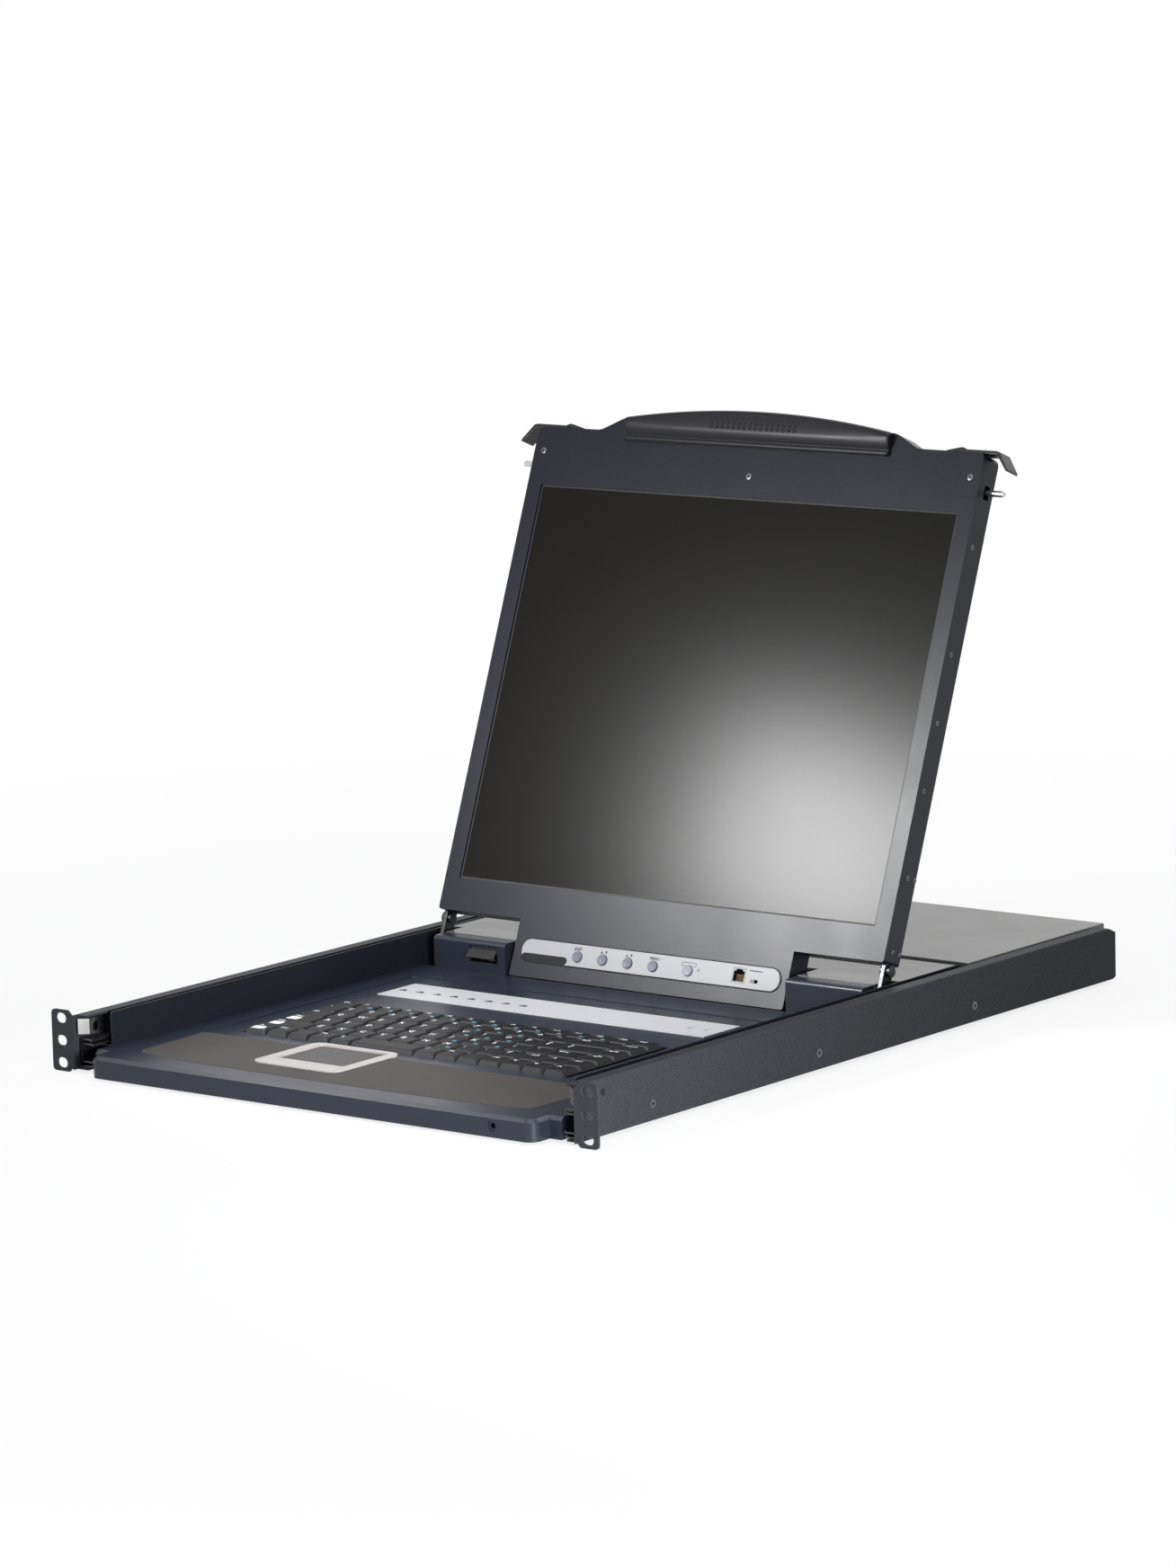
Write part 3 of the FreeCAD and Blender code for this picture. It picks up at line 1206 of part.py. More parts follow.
def key_cap(cell):
    """Key cap with sloping sides and its guide stems."""
    x, y, units = cell
    cap_x = grown(x, -KEY_GAP / 2)
    cap_y = grown(y, -KEY_GAP / 2)
    cap = frustum(cap_x, cap_y, (KEY_BOTTOM, KEY_TOP), KEY_INSET_SIDE, KEY_INSET_END)
    stem_z = (GUIDE_TOP - KEY_TRAVEL, KEY_BOTTOM)
    stems = [block(around(px, KEY_STEM), around(py, KEY_STEM), stem_z) for px, py in stem_places(cell)]
    return fuse([cap] + stems)


def keycaps():
    """Every key but the space bar."""
    return group([key_cap(cell) for cell in key_cells() if cell[2] != SPACE_BAR])


def space_bar():
    """The wide key, on two stems."""
    return group([key_cap(cell) for cell in key_cells() if cell[2] == SPACE_BAR])


def keyboard_base():
    """Guide plate under the keys, slotted along each row, with a rim that hangs it from the deck."""
    x, y = key_opening()
    low = GUIDE_TOP - KEY_GUIDE
    outer = block(grown(x, BASE_RIM), grown(y, BASE_RIM), (low, DECK_UNDER))
    tools = [block(grown(x, BASE_PLAY), grown(y, BASE_PLAY), (GUIDE_TOP, DECK_UNDER + CUT))]
    rows = sorted({sum(cell[1]) / 2 for cell in key_cells()})
    for middle in rows:
        slot_y = around(middle, KEY_STEM + 2 * KEY_STEM_PLAY)
        tools.append(block((KEY_LEFT + CUT, KEY_RIGHT - CUT), slot_y, (low - CUT, GUIDE_TOP + CUT)))
    return outer.cut(tools)


def status_strip():
    """Pale strip behind the keys."""
    floor = DECK_TOP - RECESS_DEPTH
    points = rectangle((STRIP_LEFT, STRIP_RIGHT), (STRIP_FRONT, STRIP_REAR))
    return prism("z", points, (floor, floor + STRIP_SHEET))


def light_places():
    """X of the two lights."""
    return (LIGHT_X, LIGHT_X + LIGHT_PITCH)


def status_lights():
    """Two small round lights on the strip."""
    seat = DECK_TOP - RECESS_DEPTH + STRIP_SHEET
    z = (seat, seat + LIGHT_HEIGHT)
    return group([small_round("z", z, (x, LIGHT_Y), LIGHT_RADIUS) for x in light_places()])


# ---------------------------------------------------------------- hinge blocks, port door, mid cover
def hinge_block():
    """Right-hand hollow cover in front of a hinge: face, top and two end walls."""
    outer = block((BLOCK_INNER, BLOCK_OUTER), (BLOCK_FACE, BLOCK_FACE + BLOCK_DEPTH), (PAN_TOP, BLOCK_TOP))
    face = BLOCK_FACE + 0.01
    outer = rounded(outer, BLOCK_EDGE, lambda box: box.ZMin > BLOCK_TOP - 0.01 and box.YMax < face)
    inside = block(
        grown((BLOCK_INNER, BLOCK_OUTER), -BLOCK_WALL),
        (BLOCK_FACE + BLOCK_WALL, REACH),
        (PAN_TOP - CUT, BLOCK_TOP - BLOCK_WALL),
    )
    shaft_x = (BLOCK_OUTER - BLOCK_WALL - CUT, BLOCK_OUTER + CUT)
    shaft = small_round("x", shaft_x, (PIVOT_Y, PIVOT_Z), SHAFT_RADIUS + BLOCK_SHAFT_GAP)
    return outer.cut([inside, shaft])


def hinge_block_left():
    """Left-hand block with the doorway of the front port and sockets for the door's pins."""
    back = BLOCK_FACE + BLOCK_WALL
    top = DOOR_AXIS_Z + DOOR_SHEET + DOOR_HEAD_GAP
    doorway = block((PORT_LEFT, PORT_RIGHT), (BLOCK_FACE - CUT, back + CUT), (PORT_LOW, top))
    lug_y = (back, DOOR_AXIS_Y + DOOR_LUG)
    lug_z = around(DOOR_AXIS_Z, 2 * DOOR_LUG)
    lugs = [
        block((PORT_LEFT - DOOR_LUG, PORT_LEFT), lug_y, lug_z),
        block((PORT_RIGHT, PORT_RIGHT + DOOR_LUG), lug_y, lug_z),
    ]
    reach = grown((PORT_LEFT, PORT_RIGHT), DOOR_PIN_REACH + DOOR_PLAY)
    pins = small_round("x", reach, (DOOR_AXIS_Y, DOOR_AXIS_Z), DOOR_PIN_RADIUS + 2 * HINGE_PLAY)
    return fuse([mirrored(hinge_block())] + lugs).cut([doorway, pins])


def port_door():
    """Flap over the front port, hinged on two stub pins at its top edge; modelled half open."""
    x = grown((PORT_LEFT, PORT_RIGHT), -DOOR_PLAY)
    centre = (DOOR_AXIS_Y, DOOR_AXIS_Z)
    leaf = block(x, around(DOOR_AXIS_Y, DOOR_SHEET), (DOOR_AXIS_Z - DOOR_LENGTH, DOOR_AXIS_Z))
    barrel = small_round("x", x, centre, DOOR_SHEET / 2 + DOOR_BARREL)
    pins = small_round("x", grown((PORT_LEFT, PORT_RIGHT), DOOR_PIN_REACH), centre, DOOR_PIN_RADIUS)
    door = fuse([leaf, barrel, pins])
    door.rotate(FreeCAD.Vector(0, DOOR_AXIS_Y, DOOR_AXIS_Z), AXES["x"], -DOOR_OPEN)
    return door


def front_usb_port():
    """Socket behind the door, on a bracket that stands on the pan."""
    x = around((PORT_LEFT + PORT_RIGHT) / 2, USB_WIDTH)
    back = BLOCK_FACE + BLOCK_DEPTH - PORT_REAR_GAP
    low = PORT_LOW + PORT_RISE
    socket = usb_socket(x, (back, BLOCK_FACE + BLOCK_WALL + PORT_DEPTH), (low, low + USB_HEIGHT))
    bracket = block(grown(x, -PORT_POST_INSET), (back - USB_TONGUE, back), (PAN_TOP, low))
    return fuse([socket, bracket])


def mid_cover():
    """Cover over the hinges and the drawer's rear, with the well that the chin swings in."""
    under = COVER_TOP - COVER_SHEET
    front = BLOCK_FACE + BLOCK_DEPTH + COVER_GAP
    half = DRAWER_INNER - COVER_SIDE_GAP
    right = [
        (BLOCK_INNER, WELL_REAR), (BLOCK_INNER, front), (BLOCK_OUTER, front),
        (BLOCK_OUTER, NOTCH_REAR), (half, NOTCH_REAR), (half, DRAWER_REAR),
    ]
    points = right + [(-x, y) for x, y in right[::-1]]
    radii = [0, 0, 0, COVER_NOTCH_CORNER, 0, 0]
    well = (WELL_REAR, WELL_REAR + COVER_SHEET)
    rear = (DRAWER_REAR - COVER_SHEET, DRAWER_REAR)
    inner = BLOCK_INNER + COVER_SHEET
    pieces = [
        prism("z", points, (under, COVER_TOP), radii + radii[::-1]),
        block((-inner, inner), well, (PAN_TOP, under)),
        block((WALL_FLANGE - half, half - WALL_FLANGE), rear, (PAN_TOP, under)),
    ]
    cheek = block((BLOCK_INNER, inner), (front, well[1]), (PAN_TOP, under))
    flange = block((half - COVER_SHEET, half), (NOTCH_REAR, DRAWER_REAR), (under - COVER_FLANGE, under))
    pieces += [cheek, mirrored(cheek), flange, mirrored(flange)]
    return fuse(pieces)


def hinge_brackets():
    """Uprights on the pan that carry the hinge shafts."""
    x = (BRACKET_HINGE_INNER, BRACKET_HINGE_INNER + BRACKET_HINGE_SHEET)
    y = around(PIVOT_Y, 2 * BRACKET_HINGE_RADIUS)
    seat = PAN_TOP + BRACKET_HINGE_SHEET
    upright = fuse([
        block(x, y, (PAN_TOP, PIVOT_Z)),
        cylinder("x", x, (PIVOT_Y, PIVOT_Z), BRACKET_HINGE_RADIUS),
    ])
    foot = block((x[0] - BRACKET_FOOT, x[0]), (y[0], y[1] + BRACKET_FOOT_REAR), (PAN_TOP, seat))
    gusset_points = [(x[0], seat), (x[0] - GUSSET_LENGTH, seat), (x[0], seat + GUSSET_LENGTH)]
    gusset = prism("y", gusset_points, around(PIVOT_Y, BRACKET_HINGE_SHEET))
    hole_radius = (SHAFT_RADIUS + HINGE_PLAY) / math.cos(math.pi / ROUND_SIDES)
    hole = small_round("x", grown(x, CUT), (PIVOT_Y, PIVOT_Z), hole_radius)
    return both_sides(fuse([upright, foot, gusset]).cut(hole))


# ---------------------------------------------------------------- lid
def lid_points(shrink=0.0):
    """Outline of the lid in X and height: chin, sides, top and the raised crest under the grip."""
    chin = CHIN_HALF - shrink
    half = LID_HALF - shrink
    crest_foot = CREST_FOOT - shrink
    crest = CREST_HALF - shrink
    right = [
        (chin, CHIN_BOTTOM + shrink), (chin, LID_BOTTOM + shrink), (half, LID_BOTTOM + shrink),
        (half, LID_TOP - shrink), (crest_foot, LID_TOP - shrink), (crest, CREST_TOP - shrink),
    ]
    radii = [CHIN_CORNER - shrink, 0, CHIN_CORNER - shrink, LID_CORNER - shrink, CREST_BEND, CREST_BEND]
    return right + [(-x, v) for x, v in right[::-1]], radii + radii[::-1]


def side_slots():
    """Right-hand openings in the lid's edges: for the latch's tab, its pin and the hinge arm."""
    tab = around(LATCH_TAB_X, LATCH_TAB_WIDTH + 2 * SLOT_PLAY)
    w = (LATCH_PIN_W - LATCH_SHEET - SLOT_PLAY, LATCH_PIN_W + SLOT_PLAY)
    wall = LID_TOP - 2 * SIDE_WALL
    neck = block((tab[0] - LATCH_TRAVEL, tab[1]), w, (wall, LID_TOP + CUT))
    arm_x = (ARM_INNER - SLOT_PLAY, ARM_INNER + ARM_SHEET)
    arm = block(arm_x, ARM_SLOT, (LID_BOTTOM - CUT, ARM_TOP + SLOT_PLAY))
    pin_w = around(LATCH_PIN_W, PIN_SLOT[0])
    pin = block((LID_HALF - 2 * SIDE_WALL, LID_HALF + CUT), pin_w, around(LATCH_PIN_V, PIN_SLOT[1]))
    return [neck, pin, arm]


def lid_bezel():
    """Front shell: frame around the screen, chin with its control openings, side and top walls."""
    points, radii = lid_points()
    inner, inner_radii = lid_points(SIDE_WALL)
    shell = prism("y", points, (LID_FRONT, LID_SEAM), radii)
    hollow = prism("y", inner, (GLASS_FRONT, LID_SEAM + CUT), inner_radii)
    window = block((-SCREEN_HALF, SCREEN_HALF), (LID_FRONT - CUT, LID_SEAM), (SCREEN_BOTTOM, SCREEN_TOP))
    tools = [hollow, window] + chin_holes((LID_FRONT - CUT, GLASS_FRONT + CUT))
    for tool in side_slots():
        tools += [tool, mirrored(tool)]
    return shell.cut(tools)


def chin_holes(w):
    """Openings for the buttons, the service jack and the slide switch."""
    holes = []
    for x in BUTTON_XS + (POWER_BUTTON_X,):
        holes.append(small_round("y", w, (x, BUTTON_V), BUTTON_RADIUS + BUTTON_PLAY))
    holes.append(block((JACK_LEFT, JACK_RIGHT), w, (JACK_LOW, JACK_HIGH)))
    holes.append(block((MODE_LEFT, MODE_RIGHT), w, (MODE_LOW, MODE_HIGH)))
    return holes


def lid_rear_cover():
    """Rear shell of the lid, its outer edge bevelled."""
    points, radii = lid_points()
    inner, inner_radii = lid_points(SIDE_WALL)
    shell = prism("y", points, (LID_SEAM, LID_BACK), radii)
    shell = bevelled(shell, LID_BEVEL, lambda box: box.YMin > LID_BACK - 0.01)
    tools = [prism("y", inner, (LID_SEAM - CUT, LID_BACK - REAR_SHEET), inner_radii)]
    for tool in side_slots():
        tools += [tool, mirrored(tool)]
    return shell.cut(tools)


def module_span():
    """(low, high) pairs in X and height of the screen module."""
    half = SCREEN_HALF + MODULE_MARGIN_X
    return (-half, half), (SCREEN_BOTTOM - MODULE_MARGIN_V, SCREEN_TOP + MODULE_MARGIN_V)


def lcd_screen():
    """Glass panel behind the bezel's window."""
    x, v = module_span()
    return block(x, (GLASS_FRONT, GLASS_FRONT + GLASS_DEPTH), v)


def lcd_backlight():
    """Metal can of the screen module, with its mounting ears."""
    x, v = module_span()
    return block(x, (GLASS_FRONT + GLASS_DEPTH, MODULE_BACK), v)


def lid_boards():
    """Controller board behind the screen module and the button board in the chin."""
    board_w = (MODULE_BACK + CONTROLLER_GAP, MODULE_BACK + CONTROLLER_GAP + BOARD_SHEET)
    v = (CONTROLLER_LOW, CONTROLLER_LOW + CONTROLLER_HEIGHT)
    solids = [block((-CONTROLLER_HALF, CONTROLLER_HALF), board_w, v)]
    for x in grown((-CONTROLLER_HALF, CONTROLLER_HALF), -STANDOFF_INSET):
        for level in grown(v, -STANDOFF_INSET):
            solids.append(post("y", (MODULE_BACK, board_w[0]), (x, level), STANDOFF_RADIUS))
    x = (STRIP_CHIN_LEFT + OSD_BOARD_MARGIN, STRIP_CHIN_RIGHT - OSD_BOARD_MARGIN)
    osd_w = (OSD_BOARD_W, OSD_BOARD_W + OSD_BOARD_SHEET)
    chin = [block(x, osd_w, (STRIP_CHIN_LOW, OSD_BOARD_TOP))]
    level = STRIP_CHIN_HIGH + OSD_POST_RADIUS
    for px in grown(x, -STANDOFF_INSET):
        chin.append(post("y", (GLASS_FRONT, OSD_BOARD_W), (px, level), OSD_POST_RADIUS))
    return group([fuse(solids), fuse(chin)])


def control_strip():
    """Long pale plate on the chin that carries the button legends."""
    x = (STRIP_CHIN_LEFT, STRIP_CHIN_RIGHT)
    v = (STRIP_CHIN_LOW, STRIP_CHIN_HIGH)
    end = (STRIP_CHIN_HIGH - STRIP_CHIN_LOW) / 2
    w = (LID_FRONT - STRIP_CHIN_SHEET, LID_FRONT)
    plate = prism("y", rectangle(x, v), w, end)
    return plate.cut(chin_holes((w[0] - 1, w[1] + 1)))


def chin_button(x):
    """Round push button whose stem stops just short of its switch on the chin's board."""
    face = LID_FRONT - STRIP_CHIN_SHEET - BUTTON_PROUD
    flange_w = (GLASS_FRONT + HINGE_PLAY, GLASS_FRONT + BUTTON_FLANGE_SHEET)
    stem_w = (flange_w[1], OSD_BOARD_W - BUTTON_TRAVEL - SWITCH_CLEARANCE)
    centre = (x, BUTTON_V)
    return fuse([
        small_round("y", (face, flange_w[0]), centre, BUTTON_RADIUS),
        post("y", flange_w, centre, BUTTON_RADIUS + BUTTON_FLANGE),
        post("y", stem_w, centre, BUTTON_STEM_RADIUS),
    ])


def service_jack():
    """Modular socket in the chin, open towards the front."""
    x = grown((JACK_LEFT, JACK_RIGHT), -JACK_PLAY)
    v = grown((JACK_LOW, JACK_HIGH), -JACK_PLAY)
    front = LID_FRONT - STRIP_CHIN_SHEET
    shell = block(x, (front, OSD_BOARD_W), v)
    w = (front - CUT, OSD_BOARD_W - JACK_WALL)
    top = v[1] - JACK_WALL
    cavity = block(grown(x, -JACK_WALL), w, (v[0] + JACK_WALL, top - JACK_LATCH))
    latch_x = around((x[0] + x[1]) / 2, (x[1] - x[0]) / 2)
    latch = block(latch_x, w, (top - JACK_LATCH, top))
    return shell.cut([cavity, latch])


def mode_switch():
    """Thumb slide of the two-position switch, in its slot."""
    x = grown((MODE_LEFT, MODE_RIGHT - MODE_TRAVEL), -MODE_PLAY)
    w = (LID_FRONT - STRIP_CHIN_SHEET - MODE_PROUD, OSD_BOARD_W - MODE_PLAY)
    return block(x, w, grown((MODE_LOW, MODE_HIGH), -MODE_PLAY))


def lid_handle():
    """Arched grip along the lid's top edge; its front bulges out only above the tray's lip."""
    front = LID_FRONT
    ledge = front - HANDLE_LEDGE
    bulge = front - HANDLE_BULGE
    back = LID_BACK - 1.0
    section = [
        (front, HANDLE_LOW), (ledge, HANDLE_LOW + 1.0), (ledge, HANDLE_LIP_CLEAR - 1.0),
        (bulge, HANDLE_LIP_CLEAR + 1.6), (bulge, CREST_TOP + 2.5), (bulge + 2.4, HANDLE_TOP + 1.0),
        (back - 3.0, HANDLE_TOP + 1.0), (back, HANDLE_TOP - 3.0), (back, CREST_TOP), (front, CREST_TOP),
    ]
    radii = [0, 0.8, 1.0, 2.5, 4.0, 4.0, 4.0, 3.0, 0, 0]
    bar = prism("x", section, (-HANDLE_HALF, HANDLE_HALF), radii)
    left = FreeCAD.Vector(-HANDLE_HALF, 0, HANDLE_END)
    right = FreeCAD.Vector(HANDLE_HALF, 0, HANDLE_END)
    corner = FreeCAD.Vector(HANDLE_HALF, 0, HANDLE_LOW - CUT)
    far_corner = FreeCAD.Vector(-HANDLE_HALF, 0, HANDLE_LOW - CUT)
    wire = Part.Wire([
        Part.Arc(left, FreeCAD.Vector(0, 0, HANDLE_TOP), right).toShape(),
        Part.makeLine(right, corner),
        Part.makeLine(corner, far_corner),
        Part.makeLine(far_corner, left),
    ])
    arch = Part.Face(wire).extrude(AXES["y"] * REACH)
    arch.translate(AXES["y"] * (-REACH / 2))
    return bar.common(arch).removeSplitter()


def lid_screws():
    """Screws in the bezel's face: one near each top corner and one over the screen."""
    x = LID_HALF - LID_SCREW_INSET
    v = LID_TOP - LID_SCREW_DROP
    w = (LID_FRONT - LID_SCREW_PROUD, LID_FRONT)
    places = [(-x, v), (x, v), (0.0, LID_TOP - LID_SCREW_MIDDLE_DROP)]
    return group([small_round("y", w, place, LID_SCREW_RADIUS) for place in places])


# ---------------------------------------------------------------- hinges and latches
def hinge_arm():
    """Right-hand arm: leaf inside the lid's wall, neck with a rolled knuckle, eye on the shaft."""
    x = (ARM_INNER, ARM_INNER + ARM_SHEET)
    leaf_low = LID_BOTTOM + 3.0
    neck_top = LID_BOTTOM - 4.0
    leaf_w = grown(ARM_SLOT, -1.5)
    neck = [
        (leaf_w[0], ARM_TOP), (leaf_w[1], ARM_TOP), (leaf_w[1], leaf_low), (ARM_NECK, neck_top),
        (ARM_NECK, 0.0), (-ARM_NECK, 0.0), (-ARM_NECK, neck_top), (leaf_w[0], leaf_low),
    ]
    leaf = prism("x", neck, x)
    eye = cylinder("x", x, (0, 0), ARM_EYE)
    knuckle_x = (BLOCK_OUTER + KNUCKLE_INNER_GAP, DRAWER_INNER - KNUCKLE_OUTER_GAP)
    knuckle = small_round("x", knuckle_x, (0, KNUCKLE_V), KNUCKLE_RADIUS)
    hole = small_round("x", grown(x, CUT), (0, 0), SHAFT_RADIUS + SHAFT_FIT)
    return fuse([leaf, eye, knuckle]).cut(hole)


def hinge_shaft():
    """Right-hand friction shaft, flatted to drive the arm, with a head inside the bracket."""
    seat = BRACKET_HINGE_INNER - HINGE_PLAY
    collar_x = (seat + BRACKET_HINGE_SHEET + 2 * HINGE_PLAY, ARM_INNER)
    return fuse([
        post("x", (SHAFT_INNER, seat), (0, 0), SHAFT_HEAD_RADIUS),
        small_round("x", (seat, ARM_INNER + ARM_SHEET), (0, 0), SHAFT_RADIUS),
        small_round("x", collar_x, (0, 0), SHAFT_COLLAR_RADIUS),
    ])


def latch_slider():
    """Right-hand latch: bar inside the lid, thumb tab on its top edge and hook over its corner."""
    bar_w = (LATCH_PIN_W - LATCH_SHEET, LATCH_PIN_W)
    tab = around(LATCH_TAB_X, LATCH_TAB_WIDTH)
    neck = grown(tab, -LATCH_NECK_INSET)
    base = LID_TOP + TAB_GAP
    low = LATCH_PIN_V - LATCH_BAR_HALF
    high = LATCH_PIN_V + LATCH_BAR_HALF
    end = LID_HALF - LATCH_BAR_INSET
    bar_points = [(neck[0], low), (end, low), (end, high), (neck[1], high), (neck[1], base), (neck[0], base)]
    bar = prism("y", bar_points, bar_w)
    hook_w = around(HOOK_W, HOOK_THICKNESS)
    thumb_w = (bar_w[0] - THUMB_FRONT, hook_w[1])
    thumb = prism("y", rectangle(tab, (base, LATCH_TAB_TOP)), thumb_w, [0, 0, THUMB_FRONT, THUMB_FRONT])
    top = LATCH_TAB_TOP - 0.7
    bend = LID_HALF + LATCH_TRAVEL
    hook_points = [
        (tab[1] - CUT, base), (bend, base), (bend + HOOK_WIDTH + 2.0, LID_TOP - 4.5),
        (HOOK_TIP - HOOK_WIDTH - 1.5, HOOK_LOW), (HOOK_TIP, HOOK_LOW + 1.0), (HOOK_TIP - 1.0, LID_TOP - 5.0),
        (bend + HOOK_WIDTH + 1.0, top), (tab[1] - CUT, top),
    ]
    hook = prism("y", hook_points, hook_w, [0, 2.5, 3.0, 0, 0, 6.0, 4.0, 0])
    return fuse([bar, thumb, hook])


def latch_pin():
    """Right-hand steel pin on the end of the latch bar, with a tapered nose."""
    nose = LATCH_PIN_END - PIN_NOSE
    centre = (LATCH_PIN_W, LATCH_PIN_V)
    tip_radius = LATCH_PIN_RADIUS - PIN_NOSE_TAPER
    return fuse([
        small_round("x", (LID_HALF - LATCH_BAR_INSET, nose), centre, LATCH_PIN_RADIUS),
        tapered("x", (nose, LATCH_PIN_END), centre, LATCH_PIN_RADIUS, tip_radius),
    ])


def latch_spring():
    """Right-hand folded leaf spring that presses on the end of the latch bar."""
    start = LATCH_TAB_X - LATCH_TAB_WIDTH / 2 + LATCH_NECK_INSET
    path = []
    for fold in range(5):
        side = -1 if fold % 2 == 0 else 1
        path.append((start - fold * SPRING_FOLD, LATCH_PIN_V + side * SPRING_HALF))
    return prism("y", strip(path, SPRING_SHEET), (LATCH_PIN_W - LATCH_SHEET, LATCH_PIN_W))


def build_nodes():
    """Every node by name."""
    right_rail = rail()
    right_wall = side_wall()
    nodes = {
        "rail_left": mirrored(right_rail),
        "rail_right": right_rail,
        "chassis_screws": chassis_screws(),
        "slide_outer_members": slide_outer_members(),
        "slide_middle_members": slide_middle_members(),
        "slide_inner_members": slide_inner_members(),
        "ball_cages_outer": ball_cages_outer(),
        "ball_cages_inner": ball_cages_inner(),
        "latch_catches": latch_catches(),
        "rear_box_tray": rear_box_tray(),
        "rear_box_cover": rear_box_cover(),
        "box_brackets": box_brackets(),
        "switch_board": switch_board(),
        "rear_connectors": rear_connectors(),
        "power_supply": power_supply(),
        "power_inlet": power_inlet(),
        "power_rocker": power_rocker(),
        "base_pan": base_pan(),
        "side_wall_left": mirrored(right_wall),
        "side_wall_right": right_wall,
        "deck_cover": deck_cover(),
        "palm_panel": palm_panel(),
        "touchpad_surround": touchpad_surround(),
        "touchpad": touchpad(),
        "touchpad_button_left": touchpad_button(-1),
        "touchpad_button_right": touchpad_button(1),
        "keyboard_base": keyboard_base(),
        "keycaps": keycaps(),
        "space_bar": space_bar(),
        "status_strip": status_strip(),
        "status_lights": status_lights(),
        "hinge_block_left": hinge_block_left(),
        "hinge_block_right": hinge_block(),
        "front_usb_port": front_usb_port(),
        "port_door": port_door(),
        "mid_cover": mid_cover(),
        "hinge_brackets": hinge_brackets(),
    }
    lid_nodes = {
        "lid_bezel": lid_bezel(),
        "lid_rear_cover": lid_rear_cover(),
        "lcd_screen": lcd_screen(),
        "lcd_backlight": lcd_backlight(),
        "lid_boards": lid_boards(),
        "control_strip": control_strip(),
        "display_power_button": chin_button(POWER_BUTTON_X),
        "service_jack": service_jack(),
        "mode_switch": mode_switch(),
        "lid_handle": lid_handle(),
        "lid_screws": lid_screws(),
        "hinge_arms": both_sides(hinge_arm()),
        "hinge_shafts": both_sides(hinge_shaft()),
        "latch_slider_right": latch_slider(),
        "latch_slider_left": mirrored(latch_slider()),
        "latch_pin_right": latch_pin(),
        "latch_pin_left": mirrored(latch_pin()),
        "latch_springs": both_sides(latch_spring()),
    }
    for index, x in enumerate(BUTTON_XS):
        lid_nodes["menu_button_%d" % (index + 1)] = chin_button(x)
    for name, shape in lid_nodes.items():
        nodes[name] = to_lid(shape)
    return nodes


os.makedirs("parts", exist_ok=True)
for name, shape in build_nodes().items():
    shape.exportStep("parts/%s.step" % name)
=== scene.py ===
import json
import math
import bmesh
import bpy
from mathutils import Matrix, Vector


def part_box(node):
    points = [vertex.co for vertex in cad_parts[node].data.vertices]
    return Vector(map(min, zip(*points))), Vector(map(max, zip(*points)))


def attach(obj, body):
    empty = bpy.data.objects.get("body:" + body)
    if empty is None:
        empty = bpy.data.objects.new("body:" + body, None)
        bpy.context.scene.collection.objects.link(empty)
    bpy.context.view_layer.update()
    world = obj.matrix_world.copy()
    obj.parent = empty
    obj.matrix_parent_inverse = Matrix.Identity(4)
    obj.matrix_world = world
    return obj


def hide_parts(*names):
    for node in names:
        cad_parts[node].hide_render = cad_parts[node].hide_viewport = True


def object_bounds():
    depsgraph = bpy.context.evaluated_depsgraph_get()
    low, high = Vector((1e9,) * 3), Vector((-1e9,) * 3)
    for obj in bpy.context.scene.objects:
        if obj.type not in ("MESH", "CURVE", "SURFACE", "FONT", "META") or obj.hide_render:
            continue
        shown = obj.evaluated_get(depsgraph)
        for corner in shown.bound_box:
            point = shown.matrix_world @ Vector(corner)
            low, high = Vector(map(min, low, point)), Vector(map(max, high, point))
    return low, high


MM = 0.001
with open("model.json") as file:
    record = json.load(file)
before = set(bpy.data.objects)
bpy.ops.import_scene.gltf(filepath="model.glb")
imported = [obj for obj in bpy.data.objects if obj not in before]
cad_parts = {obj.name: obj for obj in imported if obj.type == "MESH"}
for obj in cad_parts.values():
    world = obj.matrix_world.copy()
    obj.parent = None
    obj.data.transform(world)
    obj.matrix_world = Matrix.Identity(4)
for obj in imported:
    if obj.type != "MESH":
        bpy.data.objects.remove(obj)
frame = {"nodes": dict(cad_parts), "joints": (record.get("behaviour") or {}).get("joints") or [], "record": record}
cad_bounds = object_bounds()
nodes = frame["nodes"]
slot_of = {row["node"]: row["material_slot"] for row in frame["record"]["subparts"]}
joints = {joint["name"]: joint for joint in frame["joints"]}

# The lid's own axes: x across, y through its thickness (front is low), z up along it.
HINGE = Vector(joints["lid_hinge"]["pos_m"])
LID_TILT = math.radians(joints["lid_hinge"]["range_deg"][1] - 90)
LID = Matrix.Translation(HINGE) @ Matrix.Rotation(-LID_TILT, 4, "X")


def lid_box(node):
    """Lowest and highest corner of a node in the lid's own axes."""
    back = LID.inverted()
    points = [back @ vertex.co for vertex in nodes[node].data.vertices]
    low = Vector([min(point[axis] for point in points) for axis in range(3)])
    high = Vector([max(point[axis] for point in points) for axis in range(3)])
    return low, high


# ---------------------------------------------------------------- materials
# Sizes of noise and relief are in millimetres.

materials = {}
GLOSS_CLOUD_SIZE = 45
COAT_BUMP_STRENGTH = 0.6
METAL_CLOUD_SIZE = 9
METAL_GRAIN_SIZE = 0.6
METAL_GLOSS_DRIFT = 0.07
METAL_BUMP_STRENGTH = 0.35
METAL_RELIEF = 0.02


